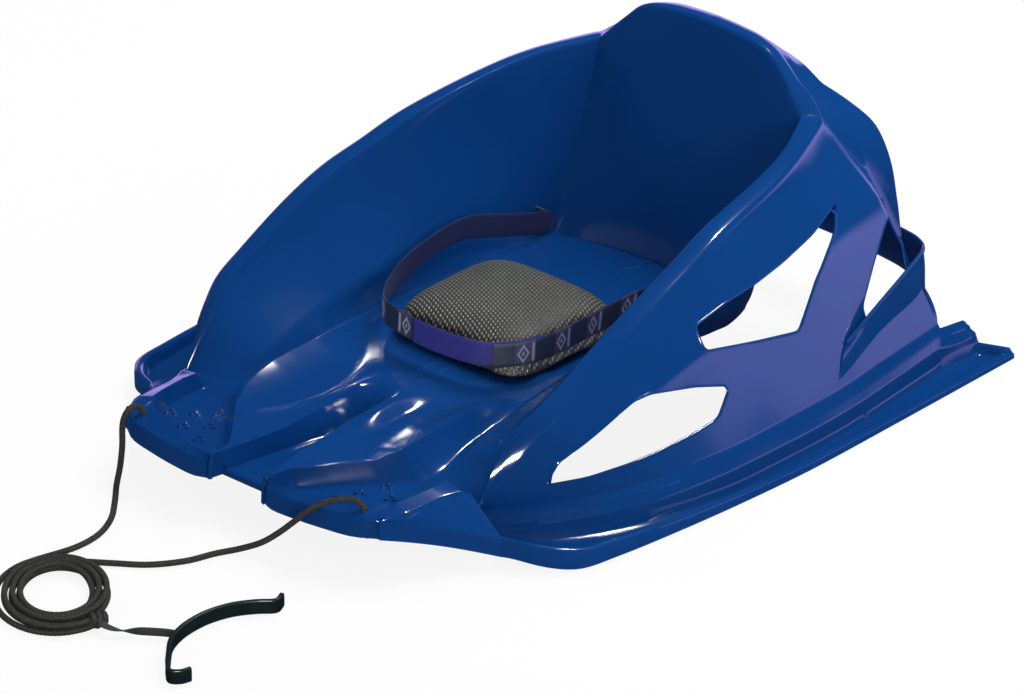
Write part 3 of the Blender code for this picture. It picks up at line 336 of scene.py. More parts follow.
class SheetMesh:
    """Quad grids that share the vertices where they meet."""

    def __init__(self):
        self.places = {}
        self.points = []
        self.faces = []

    def corner(self, point):
        key = tuple(round(float(v), 6) for v in point)
        if key not in self.places:
            self.places[key] = len(self.points)
            self.points.append(key)
        return self.places[key]

    def grid(self, rows):
        numbered = [[self.corner(point) for point in row] for row in rows]
        for low, high in zip(numbered, numbered[1:]):
            for a, b, c, d in zip(low, low[1:], high[1:], high):
                ring = list(dict.fromkeys((a, b, c, d)))
                if len(ring) > 2:
                    self.faces.append(ring)

    def object(self, name):
        data = bpy.data.meshes.new(name)
        data.from_pydata(self.points, [], self.faces)
        return placed(name, data)


def evaluated(obj, name):
    """A plain mesh object of what the modifiers give, in place of the object."""
    graph = bpy.context.evaluated_depsgraph_get()
    data = bpy.data.meshes.new_from_object(obj.evaluated_get(graph), depsgraph=graph)
    made = placed(name, data)
    bpy.data.objects.remove(obj, do_unlink=True)
    return made


def finish(obj, material, angle=None):
    """Gives a piece its material and smooth shading, with edges past an angle in degrees kept sharp."""
    obj.data.materials.clear()
    obj.data.materials.append(material)
    for polygon in obj.data.polygons:
        polygon.material_index = 0
    obj.data.shade_smooth()
    if angle is not None:
        obj.data.set_sharp_from_angle(angle=math.radians(angle))
    return obj


# Node maths


class Value:
    """A shader socket that takes part in Python arithmetic."""

    def __init__(self, tree, socket):
        self.tree = tree
        self.socket = socket

    def maths(self, operation, *others):
        node = self.tree.nodes.new("ShaderNodeMath")
        node.operation = operation
        for slot, other in zip(node.inputs, (self, *others)):
            if isinstance(other, Value):
                self.tree.links.new(other.socket, slot)
            else:
                slot.default_value = other
        return Value(self.tree, node.outputs[0])

    def swapped(self, operation, other):
        node = self.tree.nodes.new("ShaderNodeMath")
        node.operation = operation
        node.inputs[0].default_value = other
        self.tree.links.new(self.socket, node.inputs[1])
        return Value(self.tree, node.outputs[0])

    def __add__(self, other):
        return self.maths("ADD", other)

    def __radd__(self, other):
        return self.swapped("ADD", other)

    def __sub__(self, other):
        return self.maths("SUBTRACT", other)

    def __rsub__(self, other):
        return self.swapped("SUBTRACT", other)

    def __mul__(self, other):
        return self.maths("MULTIPLY", other)

    def __rmul__(self, other):
        return self.swapped("MULTIPLY", other)

    def __truediv__(self, other):
        return self.maths("DIVIDE", other)

    def __rtruediv__(self, other):
        return self.swapped("DIVIDE", other)

    def __pow__(self, other):
        return self.maths("POWER", other)

    def __abs__(self):
        return self.maths("ABSOLUTE")

    def sine(self):
        return self.maths("SINE")

    def wave(self, length):
        """A wave from 0 to 1 with the given length."""
        return (self * (2.0 * math.pi / length)).sine() * 0.5 + 0.5

    def fraction(self):
        return self.maths("FRACT")

    def floor(self):
        return self.maths("FLOOR")

    def highest(self, other):
        return self.maths("MAXIMUM", other)

    def step(self, low, high):
        """A soft step from 0 at low to 1 at high."""
        node = self.tree.nodes.new("ShaderNodeMapRange")
        node.interpolation_type = "SMOOTHSTEP"
        self.tree.links.new(self.socket, node.inputs["Value"])
        node.inputs["From Min"].default_value = low
        node.inputs["From Max"].default_value = high
        return Value(self.tree, node.outputs[0])


class Finish:
    """One node material: its Principled shader, and the nodes that feed it."""

    def __init__(self, name, **settings):
        self.material = bpy.data.materials.new(name)
        self.material.use_nodes = True
        self.tree = self.material.node_tree
        self.shader = self.tree.nodes["Principled BSDF"]
        for label, value in settings.items():
            self.shader.inputs[label.replace("_", " ")].default_value = value

    def node(self, kind, settings=None, output=0, **inputs):
        """Adds a node: settings first, then the values or links of its sockets. Returns one output."""
        made = self.tree.nodes.new(kind)
        for label, value in (settings or {}).items():
            setattr(made, label, value)
        for label, value in inputs.items():
            slot = made.inputs[label.replace("_", " ")]
            if isinstance(value, Value):
                self.tree.links.new(value.socket, slot)
            else:
                slot.default_value = value
        return Value(self.tree, made.outputs[output])

    def mix(self, share, first, second):
        """A colour between two colours or colour sockets."""
        made = self.tree.nodes.new("ShaderNodeMix")
        made.data_type = "RGBA"
        for slot, value in ((made.inputs[0], share), (made.inputs[6], first), (made.inputs[7], second)):
            if isinstance(value, Value):
                self.tree.links.new(value.socket, slot)
            else:
                slot.default_value = value
        return Value(self.tree, made.outputs[2])

    def place(self):
        """Object coordinates as three values."""
        return self.split(self.node("ShaderNodeTexCoord", output=3))

    def split(self, vector):
        made = self.tree.nodes.new("ShaderNodeSeparateXYZ")
        self.tree.links.new(vector.socket, made.inputs[0])
        return [Value(self.tree, socket) for socket in made.outputs]

    def along(self):
        """The piece's own map: metres along it, and 0 to 1 across or round it."""
        return self.split(self.node("ShaderNodeUVMap", {"uv_map": "along"}))[:2]

    def noise(self, scale, detail=2.0, vector=None, roughness=0.5):
        made = self.node("ShaderNodeTexNoise", Scale=scale, Detail=detail, Roughness=roughness)
        where = vector or self.node("ShaderNodeTexCoord", output=3)
        self.tree.links.new(where.socket, made.socket.node.inputs["Vector"])
        return made

    def feed(self, label, value):
        self.tree.links.new(value.socket, self.shader.inputs[label])

    def bump(self, height, distance, strength=1.0):
        made = self.node("ShaderNodeBump", Strength=strength, Distance=distance, Height=height)
        self.feed("Normal", made)


# The moulding


def tinted(colour, red, green, blue):
    """A colour with its parts scaled, as a node takes it."""
    return (colour[0] * red, colour[1] * green, colour[2] * blue, 1.0)


def notch_half(y):
    """Half width of the sunken plate between the two foot rests."""
    return max(0.006, NOTCH_HALF * (y - NOTCH_APEX_Y) / (PLATE_FRONT_Y - NOTCH_APEX_Y))


def floor_bends(y):
    """x of the channel's edge, the ridge and the gutter, and heights from the middle to the gutter."""
    stations = np.array(LEG_STATIONS)
    return [float(np.interp(y, stations[:, 0], stations[:, column])) for column in range(1, 8)]


def row_position(share, marks):
    """Distance along a line at a share of the rows, with the paces before and after a mark eased together."""
    around = share + ROW_EASE * (np.arange(41) / 40 - 0.5)
    inside = np.abs(around)
    inside = np.where(inside > 1.0, 2.0 - inside, inside)
    places = np.interp(inside, ROW_MARKS, marks)
    places = np.where(around < 0.0, 2.0 * marks[0] - places, places)
    places = np.where(around > 1.0, 2.0 * marks[-1] - places, places)
    return float(places.mean())


def row_ends(count):
    """For each row of the tub: its points on rim, crease and foot, and its y on the middle line."""
    straight = np.linspace(FOOT[-1], REAR_FOOT, 24)
    parts = {
        "rim": (through(RIM), None, through(HEAD_RIM)),
        "crease": (through(CREASE), None, through(BACK_CREASE)),
        "foot": (through(FOOT), np.concatenate([straight, through(REAR_EDGE)[1:]]), through(HEAD_EDGE)),
    }
    ends = {}
    corner = None
    for name, (side, fan, head) in parts.items():
        line = np.concatenate([side, *([fan[1:]] if fan is not None else []), head[1:]])
        walked = walked_length(line)
        first = walked[len(side) - 1]
        second = first + (walked_length(fan)[-1] if fan is not None else 0.0)
        marks = (0.0, first, second, walked[-1])
        places = [row_position(k / count, marks) for k in range(count + 1)]
        if fan is not None:
            at_corner = first + walked_length(straight)[-1]
            corner = int(np.argmin(np.abs(np.array(places) - at_corner)))
            places[corner] = at_corner
        ends[name] = [np.array([np.interp(place, walked, line[:, k]) for k in range(3)]) for place in places]
    middles = [row_position(k / count, CENTRE_Y) for k in range(count + 1)]
    return ends["rim"], ends["crease"], ends["foot"], middles, corner


# Faces between the middle line, the notch, its top, the channel's edge, the ridge, the gutter and the crease
FLOOR_PARTS = (5, 4, 14, 12, 8, 12)


def floor_columns():
    """Each column of the floor: the bend before it, and its share of the way to the next one."""
    columns = [(part, k / count) for part, count in enumerate(FLOOR_PARTS) for k in range(count)]
    return [*columns, (len(FLOOR_PARTS) - 1, 1.0)]


def floor_z(part, share, heights, last_z):
    """Height of a column of the floor between its bends."""
    low, middle, channel, ridge, gutter = heights
    if part == 0:
        return low + 0.0012 * math.exp(-((share - 0.82) / 0.09) ** 2) * (middle - low > 0.004)
    if part == 1:
        return low + (middle - low) * smooth(share, -0.05, 0.85) + 0.0010 * math.sin(math.pi * share ** 2)
    if part == 2:
        return middle + (channel - middle) * smooth(share, 0.05, 1.0) + 0.0004 * (share < 0.02)
    if part == 3:
        return channel + (ridge - channel) * share ** 1.7
    if part == 4:
        return gutter + (ridge - gutter) * (1.0 - share) ** 1.5
    return gutter + (last_z - gutter) * share ** 1.5


def notch_wall(y):
    """How far the sunken plate's side walls reach outwards: steep in front, and soft round its inner end."""
    return PLATE_WALL + 0.016 * smooth(y, -0.330, -0.215) * smooth(-y, 0.120, 0.170)


def moulded_floor(middle_y, crease):
    """One row of the floor, from the middle line to the crease under the side wall."""
    wide = max(crease[0], 1e-6)
    notch = min(notch_half(middle_y), 0.12 * wide)
    wall = min(notch_wall(middle_y), 0.20 * wide)
    plate = smooth(-middle_y, 0.170, -NOTCH_APEX_Y + 0.004)

    def y_at(x):
        return middle_y + (crease[1] - middle_y) * max(0.0, x / wide - 0.1) / 0.9

    channel_x, ridge_x, gutter_x, *heights = floor_bends(y_at(0.7 * wide))
    bends = [0.0, notch, notch + wall, min(channel_x, 0.70 * wide), min(ridge_x, 0.80 * wide),
             min(gutter_x, 0.90 * wide), crease[0]]
    heights = [heights[0] + (PLATE_Z - heights[0]) * plate, *heights]
    row = []
    for part, share in floor_columns():
        x = bends[part] + (bends[part + 1] - bends[part]) * share
        row.append((x, y_at(x), floor_z(part, share, heights, crease[2])))
    row[-1] = tuple(crease)
    return row


def skirt_swell(share):
    """How far the skirt stands out from a straight line, 0 at its ends and 1 at its bend."""
    rising, falling = share / SKIRT_BEND, (1.0 - share) / (1.0 - SKIRT_BEND)
    return -math.log(math.exp(-10.0 * rising) + math.exp(-10.0 * falling)) / 10.0


def tub_rows(count):
    """The bowl, its rim and its skirt, row by row from the toes round the back to the middle of the head."""
    rims, creases, feet, middles, corner = row_ends(count)
    rows = []
    for top, low, base, middle_y in zip(rims, creases, feet, middles):
        floor = moulded_floor(middle_y, low)
        inward = np.array([low[0] - top[0], low[1] - top[1], 0.0])
        inward /= np.linalg.norm(inward)
        height = np.linalg.norm(base - top)
        outward = np.array([base[0] - top[0], base[1] - top[1], 0.0])
        outward /= max(np.linalg.norm(outward), 1e-6)
        scale = min(1.0, height / 0.06)
        up = np.array([0.0, 0.0, scale])
        inner = top + scale * inward * RIM_ROUND - up * 0.8 * RIM_ROUND
        wall = [low + (inner - low) * share - inward * 0.007 * math.sin(math.pi * share)
                for share in (0.0, 0.25, 0.5, 0.75, 0.93)]
        lip = [top + scale * inward * aside - up * drop for aside, drop in (
            (0.0052, 0.0052), (0.0042, 0.0030), (0.0024, 0.0007), (0.0008, 0.0000))]
        band = [top + scale * outward * aside - up * drop for aside, drop in (
            (0.0050, 0.0004), (0.0140, 0.0022), (0.0192, 0.0046), (0.0222, 0.0100))]
        swell = SKIRT_SWELL * height * scale
        skirt = [band[-1] + (base - band[-1]) * share + outward * swell * skirt_swell(share) * (share < 1.0)
                 for share in (0.12, 0.24, 0.31, 0.35, 0.40, 0.50, 0.65, 0.82, 0.97, 1.0)]
        profile = cross_profile([*wall, *lip, *band, *skirt],
                                [4, 4, 4, 3, 1, 1, 1, 1, 1, 3, 3, 3, 2, 2, 2, 2, 2, 3, 4, 4, 3, 1])
        rows.append([*floor[:-1], *(tuple(p) for p in profile)])
    rows[-1] = [(0.0, y, z) for x, y, z in rows[-1]]
    return rows, feet[: corner + 1]


# The stepped ridge along each board: how far out, how far down as a share of the drop
RIDGE_STEPS = [
    (0.0000, 0.000), (0.0030, 0.050), (0.0040, 0.110), (0.0072, 0.170), (0.0082, 0.270), (0.0132, 0.380),
    (0.0144, 0.500), (0.0172, 0.760), (0.0200, 0.930), (0.0240, 0.985),
]


# The rim across the tray's rear end: how far ahead of the end, how much of the rise, and its height
BOARD_END = ((0.0120, 0.0, 0.012), (0.0105, 0.10, 0.012), (0.0080, 0.85, 0.012), (0.0068, 1.0, 0.0128),
             (0.0018, 1.0, 0.0130), (0.0004, 1.0, 0.0118))


def board_rows(feet, rear):
    """The runner board from the skirt's foot: three thin steps, a tray and its rolled rim."""
    side = len(feet) - 1
    edge = list(spaced(BOARD_EDGE, side)) + list(spaced(BOARD_REAR_EDGE, rear))[1:]
    inner = list(feet) + list(spaced(BOARD_REAR_FOOT, rear))[1:]
    rows = []
    for index, (start, end) in enumerate(zip(inner, edge)):
        out = np.array([end[0] - start[0], end[1] - start[1], 0.0])
        reach = np.linalg.norm(out)
        out /= reach
        rim_z = end[2]
        floor = BOARD_FLOOR_Z + 0.4 * max(0.0, rim_z - 0.012)
        nose = 1.0 - smooth(index / side, 0.0, 0.14)
        shrink = min(1.0, 0.42 * reach / 0.020)
        drop = start[2] - floor

        def at(distance, z):
            return (start[0] + out[0] * distance, start[1] + out[1] * distance, z)

        keys = [at(shrink * aside, start[2] - drop * down) for aside, down in RIDGE_STEPS]
        keys[0] = tuple(start)
        keys += [at(reach - 0.0175, floor), at(reach - 0.0135, floor + 0.0003),
                 at(reach - 0.0090, rim_z - 0.0012), at(reach - 0.0070, rim_z),
                 at(reach - 0.0022, rim_z), at(reach - 0.0004, rim_z - 0.0016),
                 at(reach, 0.001 + 0.009 * nose)]
        counts = [1, 1, 1, 1, 1, 1, 2, 1, 1, 3, 1, 2, 1, 2, 1, 3]
        rows.append([tuple(p) for p in cross_profile(keys, counts)])
    # The tray's rear end: the floor turns up to a rim that runs across, then down behind it
    last = rows.pop()
    crest = sum(counts[:14])
    for back, share, rim in BOARD_END:
        rows.append([(x, y - back, z + (max(z, rim) - z) * share if column < crest else z)
                     for column, (x, y, z) in enumerate(last)])
    rows.append([(x, y, min(z, 0.006)) for x, y, z in last])
    return rows


def band_height(across):
    """Height of the raised band round the foot rests; across goes from 0 inside to 1 outside."""
    return BAND_Z - BAND_FALL * across


# The rolled edge of the foot rests: how far out and how far down
DECK_EDGE = ((0.0010, 0.0006), (0.0020, 0.0024), (0.0028, 0.0080), (0.0034, DECK_DROP))


def deck_rows(floor):
    """The two foot rests: plate, plateau, low patch, and the raised band round the patch."""
    borders = np.array(PATCH_FRONT)
    fronts = through(TOE_FRONT)[::-1]
    sides = np.array(PATCH_SIDE)
    edges = through(TOE_SIDE)[::-1]
    columns = floor_columns()

    def column_x(column, y):
        part, share = columns[column]
        notch = notch_half(y)
        channel_x, ridge_x, gutter_x = floor_bends(y)[:3]
        low = float(np.interp(y, sides[:, 0], sides[:, 1]))
        bends = [0.0, notch, notch + notch_wall(y), channel_x, ridge_x, gutter_x, low]
        return bends[part] + (bends[part + 1] - bends[part]) * share

    def stop(column, wanted):
        y = PLATE_FRONT_Y
        for _ in range(14):
            y = 0.5 * (y + wanted(column_x(column, y)))
        return column_x(column, y), y

    def border_y(x):
        return float(np.interp(x, borders[:, 0], borders[:, 1]))

    def front_y(x):
        return float(np.interp(x, fronts[:, 0], fronts[:, 1]))

    patch_rows, step_rows, band_rows = 40, 3, 9
    total = patch_rows + step_rows + band_rows
    rows = [[] for _ in range(total + 1)]
    for column, (back_x, back_y, back_z) in enumerate(floor):
        part, part_share = columns[column]
        plate = part == 0
        border = PLATE_FRONT_Y * 0.97 if plate else stop(column, border_y)[1]
        if part == 1:
            border = PLATE_FRONT_Y + (border - PLATE_FRONT_Y) * part_share
        for index in range(patch_rows + 1):
            share = 1.0 - (1.0 - index / patch_rows) ** 1.2
            y = back_y + (border - back_y) * share
            settled = smooth(share, 0.0, 0.10)
            x = back_x + (column_x(column, y) - back_x) * settled
            gutter = floor_bends(y)[6]
            z = floor_z(part, part_share, [PLATE_Z, *floor_bends(y)[3:]], gutter)
            rows[index].append((x, y, back_z + (z - back_z) * settled))
        for index in range(1, step_rows + band_rows + 1):
            step = min(1.0, index / step_rows)
            across = max(0.0, (index - step_rows) / band_rows)
            if plate:
                y = border + (PLATE_FRONT_Y - border) * index / (step_rows + band_rows)
                rows[patch_rows + index].append((column_x(column, y), y, PLATE_Z))
                continue

            def wanted(x):
                inner = border_y(x) - BAND_STEP * step
                return inner + (front_y(x) - inner) * across

            x, y = stop(column, wanted)
            if part == 1:
                y = border + (y - border) * part_share
            low = rows[patch_rows][-1][2]
            z = low + (band_height(across) - low) * smooth(step, 0.0, 1.0)
            if part == 1:
                z = PLATE_Z + (band_height(across) - PLATE_Z) * smooth(part_share, -0.05, 0.85)
            rows[patch_rows + index].append((x, y, z))
    corner = np.array(TOE_SIDE[-1])
    ledge = None
    for index, row in enumerate(rows):
        low_x, low_y, low_z = row[-1]
        share = max(0.0, (index - patch_rows) / (step_rows + band_rows))
        if index <= patch_rows:
            out = np.array([float(np.interp(low_y, edges[:, 1], edges[:, 0])), low_y])
            ledge = out
        else:
            y = ledge[1] + (corner[1] - ledge[1]) * share
            out = np.array([float(np.interp(y, edges[:, 1], edges[:, 0])), y])
        settled = smooth(index / patch_rows, 0.0, 0.10)
        start = np.array([low_x, low_y])
        reach = np.linalg.norm(out - start)
        ahead = (out - start) / reach
        raise_to = band_height(share) if index > patch_rows + step_rows else band_height(0.0)
        raise_to = BAND_START_Z[0] + (raise_to - BAND_START_Z[0]) * settled
        edge_z = BAND_START_Z[1] + (band_height(1.0) - BAND_START_Z[1]) * settled
        for k in range(1, 10):
            beyond = max(0.0, (k - 3) / 6)
            aside = start + ahead * (BAND_STEP * min(1.0, k / 3) + (reach - BAND_STEP) * beyond)
            z = low_z + (raise_to - low_z) * smooth(k, 0, 3)
            if k > 3:
                z = raise_to + (edge_z - raise_to) * beyond
            row.append((*aside, min(z, band_height(share)) if index > patch_rows + step_rows else z))
        turn = ahead
        if index == total:
            turn = np.array([0.62, -0.78])
        for aside, down in DECK_EDGE:
            row.append((*(out + turn * aside), edge_z - down * (0.5 + 0.5 * settled)))
    return rows


def deck_apron(last_row):
    """The turned-down front of the foot rests and the plate."""
    rim = len(last_row) - len(DECK_EDGE)
    rows = [last_row[:rim]]
    for number, (ahead, down) in enumerate(DECK_EDGE):
        row = [(x, y - ahead, z - down * (z - PLATE_Z + 0.006) / DECK_DROP) for x, y, z in last_row[:rim]]
        row[-1] = last_row[rim + number]
        rows.append(row)
    return rows


def nose_rows(deck):
    """The board's nose, drawn forward along the side of the foot rest to the toes."""
    rows = []
    last = len(deck) - 1
    back, back_z = np.array(BOARD_EDGE[0][:2]), BOARD_EDGE[0][2]
    tip = np.array(deck[-1][-1][:2]) + (0.0016, -0.0006)
    side = np.array([tip[1] - back[1], back[0] - tip[0]])
    side = -side / np.linalg.norm(side)
    crest = -1 - len(DECK_EDGE)
    starts = [(0.0, FOOT[0])] + [(index / last, row[crest]) for index, row in enumerate(deck)]
    for share, start in starts:
        start = np.array(start)
        out = back + (tip - back) * share - side * 0.006 * math.sin(math.pi * share)
        top = back_z + (deck[-1][crest][2] - back_z) * share
        low = top - DECK_DROP
        end = np.array([*out, top])
        crown = np.array([0.0, 0.0, 0.0002])
        keys = [start, start + (end - start) * 0.25 + crown, start + (end - start) * 0.75 + crown,
                end + (*(-side * 0.0015), 0.0002), end + (0.0, 0.0, -0.0010), (*(out + side * 0.0006), low)]
        rows.append([tuple(p) for p in cross_profile(keys, [3, 5, 3, 2, 4])])
    return rows


# The housing behind each belt slot: y and z of its middle, half its size, and how far it stands out
POD_MIDDLE = (0.168, 0.091)
POD_HALF = (0.050, 0.034)
POD_SWELL = 0.023
POD_WALL = 0.0010


def pod_rows(tree, count=22):
    """The rounded housing outside the bowl that covers the end of the belt behind its slot."""
    steps = np.linspace(-1.0, 1.0, count + 1)
    rows = []
    for u in steps:
        y = POD_MIDDLE[0] + POD_HALF[0] * u
        wall = 0.150
        row = []
        for v in steps[::-1]:
            z = POD_MIDDLE[1] + POD_HALF[1] * v
            hit = tree.ray_cast(Vector((0.05, y, z)), Vector((1.0, 0.0, 0.0)))[0]
            if hit is not None and hit.x < 0.19 and z > 0.074:
                wall = hit.x + WALL * 0.6
            swell = max(0.0, (1.0 - u * u) * (1.0 - v * v)) ** 0.6
            row.append((wall + POD_SWELL * swell, y, z))
        rows.append(row)
    return rows


def mirrored_sheet(sheet, name, thickness):
    """A half sheet and its mirror image, with a wall thickness under the seen side."""
    obj = sheet.object(name)
    mesh = bmesh.new()
    mesh.from_mesh(obj.data)
    twin = bmesh.ops.duplicate(mesh, geom=mesh.verts[:] + mesh.edges[:] + mesh.faces[:])["geom"]
    for item in twin:
        if isinstance(item, bmesh.types.BMVert):
            item.co.x = -item.co.x
    bmesh.ops.remove_doubles(mesh, verts=mesh.verts, dist=2e-5)
    bmesh.ops.recalc_face_normals(mesh, faces=mesh.faces)
    level = max(mesh.faces, key=lambda face: abs(face.normal.z) * (face.calc_center_median().z < 0.3))
    if level.normal.z < 0.0:
        bmesh.ops.reverse_faces(mesh, faces=mesh.faces)
    mesh.to_mesh(obj.data)
    mesh.free()
    wall = obj.modifiers.new("wall", "SOLIDIFY")
    wall.thickness = thickness
    wall.offset = -1.0
    return obj


def rounded_outline(corners, radius, steps=5):
    """A closed outline with each corner rounded by about the radius."""
    points = [np.array(p, dtype=float) for p in corners]
    made = []
    for before, corner, after in zip([points[-1], *points], points, [*points[1:], points[0]]):
        back, ahead = before - corner, after - corner
        reach = min(radius, 0.45 * np.linalg.norm(back), 0.45 * np.linalg.norm(ahead))
        start = corner + back / np.linalg.norm(back) * reach
        end = corner + ahead / np.linalg.norm(ahead) * reach
        for k in range(steps + 1):
            t = k / steps
            made.append((1 - t) ** 2 * start + 2 * t * (1 - t) * corner + t * t * end)
    return made


def prism(name, outline, low_x, high_x):
    """A closed prism along X with an outline of y, z points."""
    mesh = bmesh.new()
    face = mesh.faces.new([mesh.verts.new((low_x, y, z)) for y, z in outline])
    for item in bmesh.ops.extrude_face_region(mesh, geom=[face])["geom"]:
        if isinstance(item, bmesh.types.BMVert):
            item.co.x = high_x
    bmesh.ops.recalc_face_normals(mesh, faces=mesh.faces)
    return mesh_object(name, mesh)


def cut(obj, cutters):
    """Cuts each cutter out of the object, and removes the cutters."""
    for number, other in enumerate(cutters):
        step = obj.modifiers.new(f"cut_{number}", "BOOLEAN")
        step.operation = "DIFFERENCE"
        step.object = other
        step.solver = "EXACT"
    made = evaluated(obj, obj.name + "_cut")
    for other in cutters:
        bpy.data.objects.remove(other, do_unlink=True)
    return made


def joined(name, objects):
    """One mesh object of several."""
    mesh = bmesh.new()
    for obj in objects:
        mesh.from_mesh(obj.data)
        bpy.data.objects.remove(obj, do_unlink=True)
    return mesh_object(name, mesh)


def cheek_sheet():
    """Half of the flared guard at the rear corner and the wall across the back, with a rolled top."""
    count = 110
    foot = spaced(CHEEK_FOOT, count)
    top = spaced(CHEEK_TOP, count)
    rows = []
    for index, (low, high) in enumerate(zip(foot, top)):
        ahead = top[min(index + 1, count)] - top[max(index - 1, 0)]
        out = np.array([ahead[1], -ahead[0], 0.0]) / np.linalg.norm(ahead[:2])
        size = smooth(index / count, 0.0, 0.25)
        hollow = -out * CHEEK_HOLLOW * size
        lift = np.array([0.0, 0.0, 0.001])
        keys = [low, low + (high - low) * 0.15 + hollow * 0.75, low + (high - low) * 0.4 + hollow,
                low + (high - low) * 0.75 + hollow * 0.3, high - lift * 4.0, high - lift * 1.2 + out * 0.0004,
                high + out * 0.0018 + lift * 0.2, high + out * 0.0034 - lift * 1.0,
                high + out * 0.0038 - lift * 4.0]
        rows.append([tuple(p) for p in cross_profile(keys, [3, 4, 5, 4, 2, 2, 2, 2])])
    rows[-1] = [(0.0, y, z) for x, y, z in rows[-1]]
    sheet = SheetMesh()
    sheet.grid(rows)
    return sheet


# Swept forms


def swept(name, sections, along, across, capped=True):
    """A skin over rings of points, mapped with metres along it and the given share across it."""
    rings = np.array(sections)
    total, count = rings.shape[:2]
    looped = len(along) > total
    points = [tuple(p) for ring in rings for p in ring]
    faces, spots = [], []
    for i in range(total - 1 + looped):
        j = (i + 1) % total
        for k in range(count):
            n = (k + 1) % count
            faces.append((i * count + k, i * count + n, j * count + n, j * count + k))
            spots += [(along[i], across[k]), (along[i], across[k + 1]),
                      (along[i + 1], across[k + 1]), (along[i + 1], across[k])]
    if capped and not looped:
        for i in (0, total - 1):
            points.append(tuple(rings[i].mean(axis=0)))
            for k in range(count):
                faces.append((i * count + k, i * count + (k + 1) % count, len(points) - 1))
                spots += [(along[i], across[k]), (along[i], across[k + 1]), (along[i], 0.5)]
    data = bpy.data.meshes.new(name)
    data.from_pydata(points, [], faces)
    data.uv_layers.new(name="along").data.foreach_set("uv", np.array(spots, dtype=np.float32).ravel())
    mesh = bmesh.new()
    mesh.from_mesh(data)
    bmesh.ops.recalc_face_normals(mesh, faces=mesh.faces)
    mesh.to_mesh(data)
    mesh.free()
    return placed(name, data)


def evenly(points, pace):
    """Points about a pace apart along a smooth line through the points."""
    line = through(points, 12)
    walked = walked_length(line)
    at = np.linspace(0.0, walked[-1], max(2, round(walked[-1] / pace)) + 1)
    return np.stack([np.interp(at, walked, line[:, k]) for k in range(3)], axis=1)


def turned_frames(line):
    """The direction at each point of a line, and two directions square to it that hardly turn."""
    ahead = np.gradient(line, axis=0)
    ahead /= np.linalg.norm(ahead, axis=1)[:, None]
    side = np.cross(ahead[0], (0.0, 0.0, 1.0) if abs(ahead[0][2]) < 0.9 else (1.0, 0.0, 0.0))
    sides = []
    for way in ahead:
        side = side - way * np.dot(side, way)
        side = side / np.linalg.norm(side)
        sides.append(side)
    sides = np.array(sides)
    return ahead, sides, np.cross(ahead, sides)


# Plaits each way round a rope, and the rope's length for one crossing
PLAITS = 3
PLAIT_STEP = 0.0042


def plaited(name, points, sides=18, pace=0.0008, swell=1.0):
    """A braided rope along the points, its plaits standing proud, and the line that it follows."""
    line = evenly(points, pace)
    _, first, second = turned_frames(line)
    walked = walked_length(line)
    around = np.arange(sides) / sides
    turns = walked[:, None] / PLAIT_STEP
    one = np.abs(np.sin(math.pi * (turns + PLAITS * around)))
    other = np.abs(np.sin(math.pi * (turns - PLAITS * around)))
    radius = swell * ROPE_D / 2 * (0.88 + 0.12 * np.maximum(one, other) ** 2)
    angle = 2.0 * math.pi * around
    rings = (line[:, None, :] + radius[..., None] * (np.cos(angle)[None, :, None] * first[:, None, :]
                                                     + np.sin(angle)[None, :, None] * second[:, None, :]))
    return swept(name, rings, walked, np.arange(sides + 1) / sides), line


def rolled_lip(name, outline, sign, tree, radius):
    """A closed bead round a window, laid on the skirt's own surface."""
    loop = []
    for y, z in outline:
        hit = tree.ray_cast(Vector((sign * 0.45, y, z)), Vector((-sign, 0.0, 0.0)))[0]
        if hit is not None and hit.x * sign > 0.15:
            loop.append((hit.x - sign * 0.4 * WALL, y, z))
    points = np.array(loop)
    ring = np.concatenate([points, points[:3]])
    line = evenly(ring, 0.002)
    close = int(np.argmin(np.linalg.norm(line[len(line) // 2:] - line[8], axis=1))) + len(line) // 2
    line = line[8: close]
    ahead = np.roll(line, -1, axis=0) - np.roll(line, 1, axis=0)
    ahead /= np.linalg.norm(ahead, axis=1)[:, None]
    first = np.cross(ahead, (sign, 0.0, 0.0))
    first /= np.linalg.norm(first, axis=1)[:, None]
    second = np.cross(ahead, first)
    angle = 2.0 * math.pi * np.arange(10) / 10
    rings = line[:, None, :] + radius * (np.cos(angle)[None, :, None] * first[:, None, :]
                                         + np.sin(angle)[None, :, None] * second[:, None, :])
    walked = np.append(walked_length(line), walked_length(line)[-1] + 0.002)
    return swept(name, rings, walked, np.arange(11) / 10)


# Grip studs in clusters of three on each foot rest: x and y of each cluster
STUD_CLUSTERS = [
    (0.149, -0.325), (0.130, -0.310), (0.112, -0.295), (0.119, -0.337), (0.100, -0.320), (0.089, -0.346),
]


